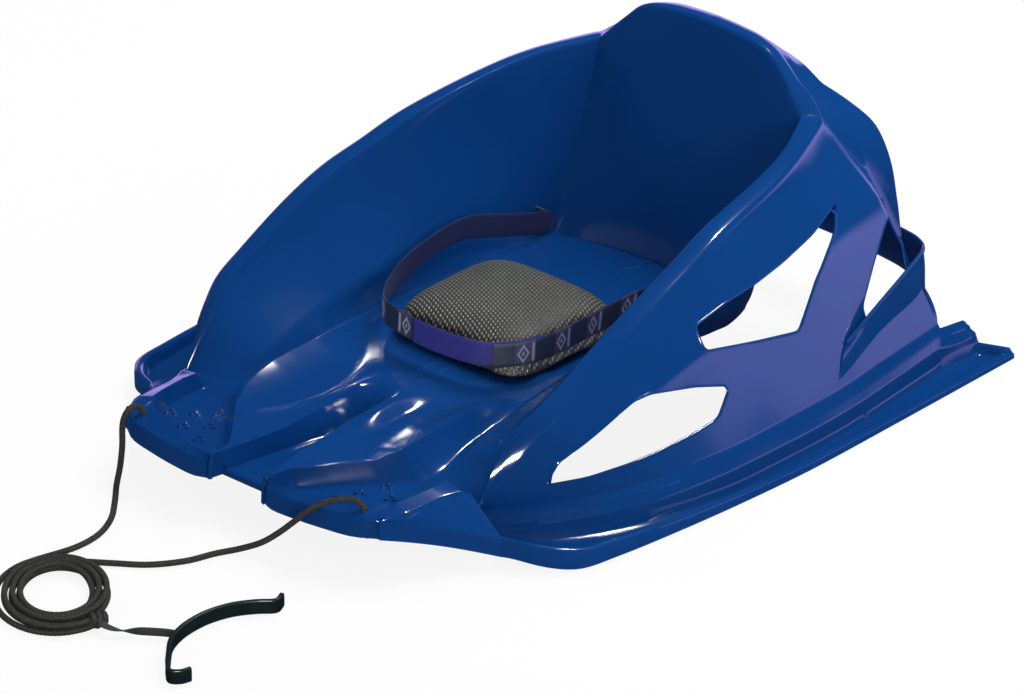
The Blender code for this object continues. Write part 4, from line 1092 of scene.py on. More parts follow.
def stud_tree(radius, spread, material):
    """Geometry nodes: three small domes round each given point."""
    tree = bpy.data.node_groups.new("grip_studs", "GeometryNodeTree")
    face = tree.interface
    face.new_socket("Geometry", in_out="INPUT", socket_type="NodeSocketGeometry")
    sizes = {}
    for label, value in (("Stud radius", radius), ("Spread", spread)):
        sizes[label] = face.new_socket(label, in_out="INPUT", socket_type="NodeSocketFloat")
        sizes[label].default_value = value
    face.new_socket("Geometry", in_out="OUTPUT", socket_type="NodeSocketGeometry")
    add = tree.nodes.new
    given, result = add("NodeGroupInput"), add("NodeGroupOutput")
    three, dome, place, clusters = (add(kind) for kind in (
        "GeometryNodeMeshCircle", "GeometryNodeMeshUVSphere", "GeometryNodeInstanceOnPoints",
        "GeometryNodeInstanceOnPoints"))
    three.inputs["Vertices"].default_value = 3
    dome.inputs["Segments"].default_value = 14
    dome.inputs["Rings"].default_value = 9
    real, paint = add("GeometryNodeRealizeInstances"), add("GeometryNodeSetMaterial")
    paint.inputs["Material"].default_value = material
    link = tree.links.new
    link(given.outputs["Spread"], three.inputs["Radius"])
    link(given.outputs["Stud radius"], dome.inputs["Radius"])
    link(three.outputs["Mesh"], place.inputs["Points"])
    link(dome.outputs["Mesh"], place.inputs["Instance"])
    link(given.outputs["Geometry"], clusters.inputs["Points"])
    link(place.outputs["Instances"], clusters.inputs["Instance"])
    link(clusters.outputs["Instances"], real.inputs["Geometry"])
    link(real.outputs["Geometry"], paint.inputs["Geometry"])
    link(paint.outputs["Geometry"], result.inputs["Geometry"])
    return tree, sizes


def grip_studs(radius, spread, tree, material):
    """The studs on both foot rests, set a little into their surface."""
    points = []
    for x, y in STUD_CLUSTERS:
        for sign in (-1, 1):
            hit = tree.ray_cast(Vector((sign * x, y, 0.2)), Vector((0.0, 0.0, -1.0)))[0]
            points.append((sign * x, y, hit.z - 0.2 * radius))
    data = bpy.data.meshes.new("stud_points")
    data.from_pydata(points, [], [])
    obj = placed("stud_points", data)
    nodes, sizes = stud_tree(radius, spread, material)
    step = obj.modifiers.new("studs", "NODES")
    step.node_group = nodes
    step[sizes["Stud radius"].identifier] = radius
    step[sizes["Spread"].identifier] = spread
    return evaluated(obj, "grip_studs")


def plastic_finish(colour, roughness):
    """Glossy moulded plastic with the faint waviness and fine haze of a big moulding."""
    made = Finish("moulded_plastic", Base_Color=(*colour, 1.0), Roughness=roughness, Specular_IOR_Level=0.5,
                  Coat_Weight=0.0)
    broad = made.noise(9.0, 2.0)
    fine = made.noise(900.0, 1.0)
    made.feed("Roughness", roughness + 0.05 * broad + 0.02 * fine)
    made.feed("Base Color", made.mix(broad.step(0.35, 0.75), (*colour, 1.0), tinted(colour, 1.1, 1.12, 1.08)))
    made.bump(broad + fine * 0.02, 0.0006, 0.22)
    return made.material


class SledMoulding(bpy.types.PropertyGroup):
    """Sizes and colour of the moulded body."""

    colour: FloatVectorProperty(name="Plastic", description="Colour of the moulded plastic", subtype="COLOR",
                                size=3, default=(0.0035, 0.050, 0.225))
    roughness: FloatProperty(name="Roughness", description="Roughness of the plastic", default=0.075)
    rows: IntProperty(name="Rows", description="Rows of faces round each half of the bowl", default=200)
    window_lip: FloatProperty(name="Window lip", description="Radius of the rolled edge round each window",
                              default=0.0016, unit="LENGTH")
    stud_radius: FloatProperty(name="Stud radius", description="Radius of a grip stud on the foot rests",
                               default=0.0029, unit="LENGTH")
    stud_spread: FloatProperty(name="Stud spread", description="Distance of a stud from its cluster's middle",
                               default=0.0046, unit="LENGTH")


class SLED_OT_moulding(bpy.types.Operator):
    """Build the moulded bowl, boards, foot rests, cheeks and rear wall"""

    bl_idname = "sled.moulding"
    bl_label = "Moulded body"

    def execute(self, context):
        sizes = context.scene.sled_moulding
        rows, feet = tub_rows(sizes.rows)
        sheet = SheetMesh()
        sheet.grid(rows)
        sheet.grid(board_rows(feet, 20))
        deck = deck_rows(rows[0][:len(floor_columns())])
        sheet.grid(deck)
        sheet.grid(deck_apron(deck[-1]))
        sheet.grid(nose_rows(deck))
        body = mirrored_sheet(sheet, "body_sheet", WALL)
        tree = surface_tree(body)
        plastic = plastic_finish(sizes.colour, sizes.roughness)
        pods = SheetMesh()
        pods.grid(pod_rows(tree))
        housing = evaluated(mirrored_sheet(pods, "pod_sheet", POD_WALL), "pods")
        studs = grip_studs(sizes.stud_radius, sizes.stud_spread, tree, plastic)
        lips, cutters = [], []
        for sign in (-1, 1):
            for number, outline in enumerate((WINDOW_FRONT, WINDOW_REAR, WINDOW_LEG)):
                soft = rounded_outline(outline, WINDOW_ROUND)
                lips.append(rolled_lip(f"lip_{sign}_{number}", soft, sign, tree, sizes.window_lip))
                reach = sorted(sign * x for x in WINDOW_CUT_X)
                cutters.append(prism(f"window_{sign}_{number}", soft, *reach))
        body = cut(body, cutters)
        guard = evaluated(mirrored_sheet(cheek_sheet(), "guard_sheet", CHEEK_WALL), "guard")
        whole = joined("moulded_body", [body, guard, housing, studs, *lips])
        finish(whole, plastic, SHARP_DEG)
        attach(whole, "sled")
        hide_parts("sled_body")
        return {"FINISHED"}


# The seat pad


def pad_shape(shrink):
    """The square cushion before it is filled: crowned, with sides that pull in between its corners."""
    levels = [(r, PAD_EDGE + 1.2 * PAD_CROWN * max(0.0, 1.0 - (r / 0.93) ** 4.2) ** 0.62)
              for r in np.linspace(0.0, 0.97, 34)[1:]]
    levels += [(1.0, 0.62 * PAD_EDGE), (0.995, 0.30 * PAD_EDGE), (0.955, 0.0)]
    base = SEAT_Z + GAP + shrink
    sides = 96
    rings = []
    for r, height in levels:
        ring = []
        for k in range(sides):
            angle = 2.0 * math.pi * k / sides
            u = math.copysign(abs(math.cos(angle)) ** 0.5, math.cos(angle))
            v = math.copysign(abs(math.sin(angle)) ** 0.5, math.sin(angle))
            pulled = r * (1.0 - PAD_DRAW_IN * math.cos(2.0 * angle) ** 2)
            ring.append(((PAD_HALF_X - shrink) * u * pulled, PAD_CENTRE_Y + (PAD_HALF_Y - shrink) * v * pulled,
                         base + max(0.0, height - 2.0 * shrink) * (height > 0.0)))
        rings.append(ring)
    return swept("pad_shape", rings, np.arange(len(rings)) * 0.005, np.arange(sides + 1) / sides)


def filled(obj, voxel, pressure, most):
    """Blows the cushion up as cloth, with a limit on how far any point moves, and smooths it."""
    remesh = obj.modifiers.new("even", "REMESH")
    remesh.mode = "VOXEL"
    remesh.voxel_size = voxel
    obj = evaluated(obj, "pad_even")
    before = np.array([tuple(vert.co) for vert in obj.data.vertices])
    after = before.copy()
    cloth = obj.modifiers.new("fill", "CLOTH")
    cloth.settings.use_pressure = True
    cloth.settings.uniform_pressure_force = pressure
    cloth.settings.effector_weights.gravity = 0.0
    for number in range(1, 21):
        bpy.context.scene.frame_set(number)
    graph = bpy.context.evaluated_depsgraph_get()
    blown = obj.evaluated_get(graph)
    after = np.array([tuple(vert.co) for vert in blown.data.vertices])
    obj.modifiers.remove(cloth)
    bpy.context.scene.frame_set(1)
    moved = after - before
    far = np.linalg.norm(moved, axis=1)
    moved *= np.minimum(1.0, most / np.maximum(far, 1e-9))[:, None]
    places = before + moved
    places[:, 2] = np.maximum(places[:, 2], SEAT_Z + GAP)
    obj.data.vertices.foreach_set("co", places.astype(np.float32).ravel())
    obj.data.update()
    softer = obj.modifiers.new("soften", "SMOOTH")
    softer.factor = 0.5
    softer.iterations = 3
    finer = obj.modifiers.new("finer", "SUBSURF")
    finer.levels = finer.render_levels = 1
    return evaluated(obj, "cushion")


def pad_finish(yarn, ground, pitch):
    """Coarse basket weave: staggered pale knots of yarn over a near-black ground. The knots' pale colour is
    partly the yarn's own and partly painted highlight on their crowns; the ground is painted shade in the
    hollows between them.
    """
    made = Finish("pad_fabric", Roughness=0.42, Sheen_Weight=0.08, Specular_IOR_Level=0.9)
    x, y, z = made.place()
    across = (x * 0.736 + y * 0.677) / pitch
    deep = (y * 0.736 - x * 0.677 + z * 0.35) / (1.06 * pitch)
    row = deep.floor()
    knot = (across * (2.0 * math.pi) + row * math.pi).sine().highest(0.0) ** 0.6
    height = knot * ((deep.fraction() * math.pi).sine() ** 0.7)
    wander = made.noise(55.0, 3.0)
    patchy = made.noise(9.0, 2.0)
    share = (height * (0.55 + 0.75 * wander)).step(0.15, 0.85)
    pale = made.mix(patchy.step(0.3, 0.7), (*yarn, 1.0), tinted(yarn, 0.62, 0.66, 0.60))
    # Painted light: the pale on the knots' crowns is partly painted highlight, and the near-black between them
    # is painted shade in the weave's hollows.
    made.feed("Base Color", made.mix(share, (*ground, 1.0), pale))
    made.feed("Roughness", 0.60 - 0.34 * height)
    made.bump(height + 0.12 * made.noise(1500.0, 2.0), 0.0011, 0.9)
    return made.material


class SledPad(bpy.types.PropertyGroup):
    """Fill and fabric of the seat pad."""

    pressure: FloatProperty(name="Pressure", description="How hard the cushion is filled", default=4.0)
    most: FloatProperty(name="Swell", description="How far the filling may push the fabric", default=0.005,
                        unit="LENGTH")
    shrink: FloatProperty(name="Shrink", description="How much smaller the cushion starts", default=0.0024,
                          unit="LENGTH")
    # The yarn colour is partly painted highlight on the knots, and the ground colour is painted shade between
    # them.
    yarn: FloatVectorProperty(name="Yarn", description="Colour of the raised yarn", subtype="COLOR", size=3,
                              default=(0.310, 0.306, 0.250))
    ground: FloatVectorProperty(name="Ground", description="Colour between the knots", subtype="COLOR", size=3,
                                default=(0.012, 0.012, 0.007))
    pitch: FloatProperty(name="Weave pitch", description="Distance from knot to knot", default=0.0045,
                         unit="LENGTH")


class SLED_OT_pad(bpy.types.Operator):
    """Fill the seat pad and cover it in its weave"""

    bl_idname = "sled.pad"
    bl_label = "Seat pad"

    def execute(self, context):
        sizes = context.scene.sled_pad
        pad = filled(pad_shape(sizes.shrink), 0.0045, sizes.pressure, sizes.most)
        pad.name = "cushion"
        finish(pad, pad_finish(sizes.yarn, sizes.ground, sizes.pitch))
        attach(pad, "sled")
        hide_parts("seat_pad")
        return {"FINISHED"}


# The lap belt


def band_ring(half, thick):
    """The rounded outline of a flat strap: sideways and upward offsets."""
    edge = 0.5 * thick
    outline = []
    for sign in (1, -1):
        for share in np.linspace(-0.94, 0.94, 9)[::sign]:
            outline.append((sign * edge, share * half))
        outline.append((sign * edge * 0.4, sign * half))
        outline.append((-sign * edge * 0.4, sign * half))
    return outline


def strap_rings(points, offsets, halves, thick):
    """Rings of a strap that runs on edge, set off sideways from its line, away from the pad."""
    pivot = np.array([0.0, *BELT_LINE[0][1:]])
    rings = []
    for index, (point, offset, half) in enumerate(zip(points, offsets, halves)):
        ahead = points[min(index + 1, len(points) - 1)] - points[max(index - 1, 0)]
        radial = point - pivot
        radial[0] = 0.0
        tangent = np.array([0.0, -radial[2], radial[1]])
        tangent = -tangent if tangent[2] < 0.0 else tangent
        tangent = tangent / max(np.linalg.norm(tangent), 1e-9)
        blend = smooth(np.linalg.norm(radial), 0.02, 0.10)
        up = np.array([0.0, 0.0, 1.0]) * (1.0 - blend) + tangent * blend
        up /= np.linalg.norm(up)
        side = np.cross(ahead / np.linalg.norm(ahead), up)
        side /= np.linalg.norm(side)
        rings.append([point + side * (offset + aside) + up * rise for aside, rise in band_ring(half, thick)])
    return rings


def strap_piece(name, points, offsets, halves, thick, shown=1):
    """A strap on edge. Its map runs 0 to 1 across the shown face, and 2 to 3 across the other."""
    outline = band_ring(0.5, thick)
    across = [rise + 0.5 + (0.0 if aside * shown > 0.0 else 2.0) for aside, rise in outline]
    walked = walked_length(np.array(points))
    return swept(name, strap_rings(points, offsets, halves, thick), walked, [*across, across[0]])


def belt_run(line, lap, shift, thick):
    """Points, sideways offsets and half widths of one half of the belt, with a round end about its pivot."""
    half = BELT_WIDTH / 2
    back = (line[0] - line[1]) / np.linalg.norm(line[0] - line[1])
    steps = [half * math.sin(math.radians(angle)) for angle in (82, 70, 55, 38, 20)]
    points = [line[0] + back * step for step in steps] + list(line)
    halves = [math.sqrt(half * half - step * step) for step in steps] + [half] * len(line)
    walked = walked_length(line)
    offsets = [0.0] * len(steps) + [shift * smooth(at, walked[lap] - LAP_FADE, walked[lap]) for at in walked]
    return points, offsets, halves, thick


def webbing_finish(navy, teal, pale, mirrored):
    """Woven webbing with a generic print: pale panels of bars and diamonds between plain blocks."""
    made = Finish("belt_webbing" + ("_near" if mirrored else "_far"), Roughness=0.55, Sheen_Weight=0.04)
    along, across = made.along()
    step = (along / 0.0440 + (0.12 if mirrored else 0.36)).fraction()
    panel = step.step(0.02, 0.03) * (1.0 - step.step(0.50, 0.51))
    inside = (step - 0.02) / 0.48
    bar = inside.step(0.06, 0.09) * (1.0 - inside.step(0.20, 0.23)) * across.step(0.10, 0.13) * (
        1.0 - across.step(0.88, 0.91))
    from_middle = abs(inside - 0.62) * 2.3 + abs(across - 0.5) * 1.7
    diamond = 1.0 - from_middle.step(0.66, 0.72)
    hollow = 1.0 - from_middle.step(0.40, 0.46)
    heart = 1.0 - from_middle.step(0.14, 0.20)
    dots = (along * (2.0 * math.pi / 0.0016)).sine() * (across * (2.0 * math.pi * 14.0)).sine()
    dots = dots.step(0.10, 0.45)
    outside = 1.0 - across.step(1.2, 1.3)
    ink = (bar.highest(diamond - hollow).highest(heart)).highest(dots * 0.38) * panel * outside
    other = step.step(0.50, 0.51) * (1.0 - step.step(0.995, 1.0)) * outside
    ground = made.mix(other, (*navy, 1.0), (*teal, 1.0))
    ribs = along.wave(0.0011)
    threads = across.wave(1.0 / 22.0)
    faded = made.mix(made.noise(60.0, 3.0) * 0.5, ground, tinted(navy, 1.9, 1.9, 1.5))
    made.feed("Base Color", made.mix(ink * (0.72 + 0.28 * threads), faded, (*pale, 1.0)))
    made.bump(ribs * 0.5 + threads * 0.5, 0.00022, 0.8)
    return made.material


def patch_finish(colour, hooked):
    """Royal blue fastening tape: short loops, or rows of tiny hooks."""
    made = Finish("patch_hooks" if hooked else "patch_loops", Roughness=0.75, Sheen_Weight=0.08)
    z = made.place()[2]
    fuzz = made.noise(1400.0 if hooked else 800.0, 3.0)
    rows = z.wave(0.0012) if hooked else made.noise(240.0, 2.0)
    share = (fuzz * 0.7 + rows * 0.4).step(0.25, 0.85)
    made.feed("Base Color", made.mix(share, tinted(colour, 0.5, 0.5, 0.55), (*colour, 1.0)))
    made.bump(fuzz + rows * 0.6, 0.0006, 0.7)
    return made.material


class SledBelt(bpy.types.PropertyGroup):
    """Colours of the lap belt and its fastening patches."""

    navy: FloatVectorProperty(name="Navy", description="Main colour of the webbing", subtype="COLOR", size=3,
                              default=(0.006, 0.012, 0.085))
    teal: FloatVectorProperty(name="Teal", description="Colour of the plain blocks", subtype="COLOR", size=3,
                              default=(0.004, 0.022, 0.060))
    pale: FloatVectorProperty(name="Pale", description="Colour of the printed panels", subtype="COLOR", size=3,
                              default=(0.560, 0.560, 0.640))
    royal: FloatVectorProperty(name="Royal", description="Colour of the patches", subtype="COLOR", size=3,
                               default=(0.006, 0.012, 0.420))
    steps: IntProperty(name="Steps", description="Rings along the whole belt", default=300)


class SLED_OT_belt(bpy.types.Operator):
    """Build both halves of the lap belt, their patches and the ends through the slots"""

    bl_idname = "sled.belt"
    bl_label = "Lap belt"

    def execute(self, context):
        sizes = context.scene.sled_belt
        line = spaced(BELT_LINE, sizes.steps)
        front = [k for k, p in enumerate(line) if p[1] < PATCH_FRONT_Y and PATCH_START_X <= p[0] <= FAR_END_X]
        first, last = front[0], front[-1]
        free = next(k for k in front if line[k][0] >= NEAR_END_X)
        patch_shift = (PATCH_GAP + PATCH_THICK) / 2
        shift = PATCH_GAP / 2 + PATCH_THICK + GAP + BELT_THICK / 2
        printed = [webbing_finish(sizes.navy, sizes.teal, sizes.pale, mirrored) for mirrored in (0, 1)]
        from_near = line[free:][::-1]
        runs = {
            "far": (belt_run(line[: last + 1], first, -shift, BELT_THICK), printed[0]),
            "near": (belt_run(from_near, len(from_near) - 1 - (last - free), -shift, BELT_THICK), printed[1]),
        }
        for side, (run, material) in runs.items():
            band = strap_piece(f"lap_belt_{side}", *run, shown=1 if side == "far" else -1)
            finish(band, material, 50)
            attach(band, f"belt_half_{side}")
            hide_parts(f"belt_{side}")
        for name, node, body, start, way in (("loop_tape", "belt_loop_patch", "belt_half_far", first, -1),
                                             ("hook_tape", "belt_hook_patch", "belt_half_near", free, 1)):
            run = list(line[start: last + 1])
            shifts, halves = [way * patch_shift] * len(run), [BELT_WIDTH / 2] * len(run)
            tape = strap_piece(name, run, shifts, halves, PATCH_THICK)
            finish(tape, patch_finish(sizes.royal, way > 0), 50)
            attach(tape, body)
            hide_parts(node)
        for side in ("far", "near"):
            dress_node(f"belt_anchor_{side}", stub_finish(sizes.navy))
        return {"FINISHED"}


def stub_finish(navy):
    """Plain webbing where the belt's ends go round their stops."""
    made = Finish("belt_stub", Roughness=0.6, Sheen_Weight=0.2)
    x, _, z = made.place()
    threads = z.wave(0.0012)
    ribs = x.wave(0.0011)
    made.feed("Base Color", made.mix(threads, (*navy, 1.0), tinted(navy, 1.8, 1.8, 1.5)))
    made.bump(threads * ribs, 0.0002, 0.8)
    return made.material


def dress_node(node, material):
    """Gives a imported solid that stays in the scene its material."""
    obj = bpy.data.objects[node]
    for slot in obj.material_slots:
        slot.material = material


# The tow rope


def coil_point(angle_deg, inset, height):
    """A point of the coil: an angle round it, how far inside its outermost turn, and how high."""
    angle = math.radians(angle_deg)
    turn = math.radians(COIL_TURN_DEG)
    u = (COIL_HALF[0] - inset) * math.cos(angle)
    v = (COIL_HALF[1] - inset) * math.sin(angle)
    return (COIL_CENTRE[0] + u * math.cos(turn) - v * math.sin(turn),
            COIL_CENTRE[1] + u * math.sin(turn) + v * math.cos(turn), height)


def coil_line():
    """The near rope's turns: in on the floor, up where the spiral turns back, and out on top."""
    total = COIL_TURNS_IN + COIL_TURNS_CLIMB + COIL_TURNS_OUT
    count = round(total * COIL_POINTS_PER_TURN)
    innermost = COIL_TURNS_IN + COIL_TURNS_CLIMB / 2
    points = []
    for k in range(count + 1):
        turns = total * k / count
        inset = ROPE_PITCH * (innermost - abs(turns - innermost))
        leaving = smooth(turns, total - COIL_LEAVE_TURNS, total)
        inset += (-ROPE_PITCH - inset) * leaving
        climb = smooth(turns, COIL_TURNS_IN, COIL_TURNS_IN + COIL_TURNS_CLIMB)
        points.append(coil_point(COIL_START_DEG + 360.0 * turns, inset, ROPE_FLOOR_Z + ROPE_LAYER * climb))
    return points


def hitch_run():
    """Where both strands leave the coil for the hitch, and the direction that they take."""
    start = np.array(coil_point(HITCH_DEG, -ROPE_PITCH, 0.0))
    before = np.array(coil_point(HITCH_DEG - 1.0, -ROPE_PITCH, 0.0))
    return start, (start - before) / np.linalg.norm(start - before)


def hitch_middle():
    """The middle of the knot where the strands and the strap meet."""
    start, ahead = hitch_run()
    return start + ahead * (ROPE_D + GAP + HITCH_HALF) + np.array([0.0, 0.0, HITCH_R + GAP])


def to_hitch(height):
    """The straight end of a strand, square to the hitch."""
    start, ahead = hitch_run()
    return [tuple(start + ahead * step + np.array([0.0, 0.0, height])) for step in (ROPE_D / 2, ROPE_D)]


def rope_routes():
    """The far strand and the near strand with its coil, from inside the toe knots to inside the hitch."""
    top = ROPE_FLOOR_Z + ROPE_LAYER
    coil = coil_line()
    start, ahead = hitch_run()
    inside = ahead * (ROPE_D + GAP + HITCH_HALF)
    middle = hitch_middle()
    near = [(ROPE_NEAR[0][0], ROPE_NEAR[0][1], 0.050), *ROPE_NEAR]
    near = list(spaced(near, 60)) + coil[1:] + to_hitch(top)[:1]
    near.append(tuple(0.5 * (np.array(near[-1]) + middle + ahead * ROPE_D * 0.3)))
    near.append(tuple(middle))
    angles = range(FAR_LOOP_START_DEG, HITCH_DEG + 1, 15)
    loop = [coil_point(angle, -ROPE_PITCH, ROPE_FLOOR_Z) for angle in angles]
    far = [(ROPE_FAR[0][0], ROPE_FAR[0][1], 0.050), *ROPE_FAR, *loop, *to_hitch(ROPE_FLOOR_Z)[:1]]
    far.append(tuple(start + inside * 0.75 + np.array([0.0, 0.0, ROPE_FLOOR_Z + 0.0012])))
    return far, near


def trefoil(centre, across, tall):
    """A tight overhand knot about an upright line."""
    turn = np.linspace(0.0, 2.0 * math.pi, 48, endpoint=False)
    x = (np.sin(turn) + 2.0 * np.sin(2.0 * turn)) / 3.0
    y = (np.cos(turn) - 2.0 * np.cos(2.0 * turn)) / 3.0
    z = centre[2] - tall * np.sin(3.0 * turn)
    return np.stack([centre[0] + across * x, centre[1] + across * y, z], axis=1)


def wrapped(centre, ahead, radius, reach, turns):
    """A rope's turns round a straight line, closed up like a whipping."""
    side = np.cross(ahead, (0.0, 0.0, 1.0))
    side /= np.linalg.norm(side)
    up = np.cross(side, ahead)
    share = np.linspace(0.0, 1.0, int(28 * turns) + 1)
    angle = 2.0 * math.pi * turns * share
    away = radius * (1.0 - 0.25 * np.abs(2.0 * share - 1.0) ** 6)
    return (centre + ahead * (reach * (2.0 * share - 1.0))[:, None]
            + away[:, None] * (np.cos(angle)[:, None] * side + np.sin(angle)[:, None] * up))


def rope_finish(dark, fleck):
    """Braided cord: dark plaits with paler crowns and fine threads."""
    made = Finish("rope", Roughness=0.62, Sheen_Weight=0.06)
    along, around = made.along()
    turns = along / PLAIT_STEP * math.pi
    one = abs((turns + around * (PLAITS * math.pi)).sine())
    other = abs((turns - around * (PLAITS * math.pi)).sine())
    plait = one.highest(other) ** 2.0
    over = (one - other).step(-0.2, 0.2)
    threads = ((along * (2.0 * math.pi / 0.0009) + around * (40.0 * over - 20.0)).sine()) * 0.5 + 0.5
    share = (plait * (0.45 + 0.55 * threads) * (0.5 + made.noise(90.0, 2.0))).step(0.30, 1.0)
    made.feed("Base Color", made.mix(share, (*dark, 1.0), (*fleck, 1.0)))
    made.bump(plait * 0.7 + threads * 0.3, 0.0007, 0.9)
    return made.material


class SledRope(bpy.types.PropertyGroup):
    """Colours of the tow rope."""

    dark: FloatVectorProperty(name="Dark", description="Colour between the plaits", subtype="COLOR", size=3,
                              default=(0.008, 0.008, 0.004))
    fleck: FloatVectorProperty(name="Fleck", description="Colour of the plaits' crowns", subtype="COLOR", size=3,
                               default=(0.036, 0.037, 0.021))


class SLED_OT_rope(bpy.types.Operator):
    """Lay both strands of the tow rope, the coil and the knots"""

    bl_idname = "sled.rope"
    bl_label = "Tow rope"

    def execute(self, context):
        sizes = context.scene.sled_rope
        braid = rope_finish(sizes.dark, sizes.fleck)
        far_points, near_points = rope_routes()
        far, far_line = plaited("tow_rope_far", far_points)
        near, near_line = plaited("tow_rope_near", near_points)
        knots = {}
        for side, sign in (("far", -1), ("near", 1)):
            centre = (sign * TOE_HOLE[0], TOE_HOLE[1], 0.0487)
            line = trefoil(centre, 0.0052, 0.0088)
            knots[side] = plaited(f"knot_{side}", [*line, line[0]], 12, 0.0008, 0.9)[0]
            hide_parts(f"toe_knot_{side}")
        ahead = hitch_run()[1]
        wraps = wrapped(hitch_middle(), ahead, HITCH_R - ROPE_D / 2, HITCH_HALF - ROPE_D / 2, 2.3)
        hitch = plaited("hitch_wraps", wraps, 12, 0.0008)[0]
        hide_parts("rope_hitch")
        for piece in (far, near, hitch, *knots.values()):
            finish(piece, braid)
            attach(piece, "sled")
        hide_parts("rope_far")
        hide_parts("rope_near", "rope_coil")
        strap = bpy.data.objects["grip_strap"]
        for rope, sign, line, riders in ((far, -1, far_line, [knots["far"]]),
                                         (near, 1, near_line, [knots["near"], hitch, strap])):
            path = evenly(line[:: max(1, len(line) // 400)], 0.004)
            sign * TOE_HOLE[0]
            "coiled" if sign > 0 else "loose"
        return {"FINISHED"}


# The handle


def ribbon(name, line, section, across):
    """A strip along a level line. section gives sideways and upward offsets at a share of the way."""
    rings = []
    for index, point in enumerate(line):
        ahead = line[min(index + 1, len(line) - 1)] - line[max(index - 1, 0)]
        side = np.array([ahead[1], -ahead[0], 0.0])
        side /= np.linalg.norm(side)
        rings.append([point + side * aside + np.array([0.0, 0.0, up]) for aside, up in
                      section(index / (len(line) - 1))])
    return swept(name, rings, walked_length(np.array(line)), across)


def bow_ring(share):
    """The bow's band on edge: rounded edges and a slight hollow in each face."""
    half_t, half_w = BOW_THICK / 2, BOW_WIDTH / 2
    ring = []
    for k in range(24):
        angle = 2.0 * math.pi * k / 24
        u = math.copysign(abs(math.cos(angle)) ** 0.45, math.cos(angle))
        v = math.copysign(abs(math.sin(angle)) ** 0.35, math.sin(angle))
        hollow = 1.0 - 0.16 * smooth(0.75 - abs(v), 0.0, 0.4) * min(1.0, 12.0 * min(share, 1.0 - share))
        ring.append((half_t * u * hollow, half_w * v))
    return ring


def strap_ring(share):
    """The strap's section: flat at the hitch, a quarter twist, then on edge at the bow."""
    roll = math.radians(90.0) * smooth(share, 0.15, 0.60)
    ring = []
    for k in range(16):
        angle = 2.0 * math.pi * k / 16
        a = STRAP_WIDTH / 2 * math.copysign(abs(math.cos(angle)) ** 0.6, math.cos(angle))
        b = STRAP_THICK / 2 * math.copysign(abs(math.sin(angle)) ** 0.8, math.sin(angle))
        ring.append((a * math.cos(roll) - b * math.sin(roll), a * math.sin(roll) + b * math.cos(roll)))
    return ring


def handle_finish(colour):
    """Dark moulded plastic with a fine grain."""
    made = Finish("handle_plastic", Roughness=0.28)
    grain = made.noise(1100.0, 2.0)
    broad = made.noise(40.0, 2.0)
    made.feed("Roughness", 0.20 + 0.14 * broad + 0.05 * grain)
    made.feed("Base Color", made.mix(broad.step(0.3, 0.8), (*colour, 1.0), tinted(colour, 1.6, 1.5, 1.5)))
    made.bump(grain * 0.3 + broad, 0.0003, 0.4)
    return made.material


def strap_finish(colour):
    """Thin dark webbing."""
    made = Finish("handle_webbing", Roughness=0.65, Sheen_Weight=0.2)
    along, around = made.along()
    weave = ((along * (2.0 * math.pi / 0.0012)).sine() * (around * (2.0 * math.pi * 12.0)).sine()) * 0.5 + 0.5
    made.feed("Base Color", made.mix(weave, (*colour, 1.0), tinted(colour, 3.0, 2.6, 2.6)))
    made.bump(weave, 0.0003, 0.8)
    return made.material


class SledHandle(bpy.types.PropertyGroup):
    """Colours of the bow handle and its strap."""

    bow: FloatVectorProperty(name="Bow", description="Colour of the bow handle", subtype="COLOR", size=3,
                             default=(0.004, 0.014, 0.014))
    strap: FloatVectorProperty(name="Strap", description="Colour of the strap", subtype="COLOR", size=3,
                               default=(0.006, 0.012, 0.012))


class SLED_OT_handle(bpy.types.Operator):
    """Build the bow handle and its twisted strap"""

    bl_idname = "sled.handle"
    bl_label = "Handle"

    def execute(self, context):
        sizes = context.scene.sled_handle
        flat = [(x, y, BOW_WIDTH / 2 + GAP) for x, y in BOW_LINE]
        bow_line = spaced(flat, 220)
        bow = ribbon("grip_bow", bow_line, bow_ring, np.arange(25) / 24)
        finish(bow, handle_finish(sizes.bow), 50)
        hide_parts("handle_bow")
        ahead = hitch_run()[1]
        out = np.array([ahead[1], -ahead[0], 0.0])
        leaving = [tuple(hitch_middle() + out * (HITCH_R + step)) for step in (-0.002, 0.006)]
        coarse = spaced(flat, 44)
        hub = int(np.argmin(np.abs(coarse[:, 1] - HUB_Y)))
        run = coarse[hub + 1] - coarse[hub - 1]
        inner = np.array([run[1], -run[0], 0.0]) / np.linalg.norm(run[:2])
        foot = np.array([coarse[hub][0], coarse[hub][1], STRAP_END_Z])
        arriving = [tuple(foot + inner * (BOW_THICK / 2 + step)) for step in (0.008, 0.0)]
        way = spaced(leaving + STRAP_LINE + arriving, 70)
        strap = ribbon("grip_strap", way, strap_ring, np.arange(17) / 16)
        finish(strap, strap_finish(sizes.strap), 60)
        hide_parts("handle_strap")
        for piece in (bow, strap):
            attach(piece, "sled")
        return {"FINISHED"}


# The stage


class SledStage(bpy.types.PropertyGroup):
    """The camera's place and the colour of the floor."""

    azimuth: FloatProperty(name="Azimuth", description="Camera direction round the sled, in degrees",
                           default=42.61)
    elevation: FloatProperty(name="Elevation", description="Camera height above the horizon, in degrees",
                             default=27.25)
    distance: FloatProperty(name="Distance", description="Camera distance", default=9.832, unit="LENGTH")
    lens: FloatProperty(name="Lens", description="Focal length in millimetres", default=351.56)
    floor_colour: FloatVectorProperty(name="Floor", description="Colour of the floor", subtype="COLOR", size=3,
                                      default=(0.93, 0.93, 0.93))


AIM = Vector((0.0, 0.0022, 0.0506))
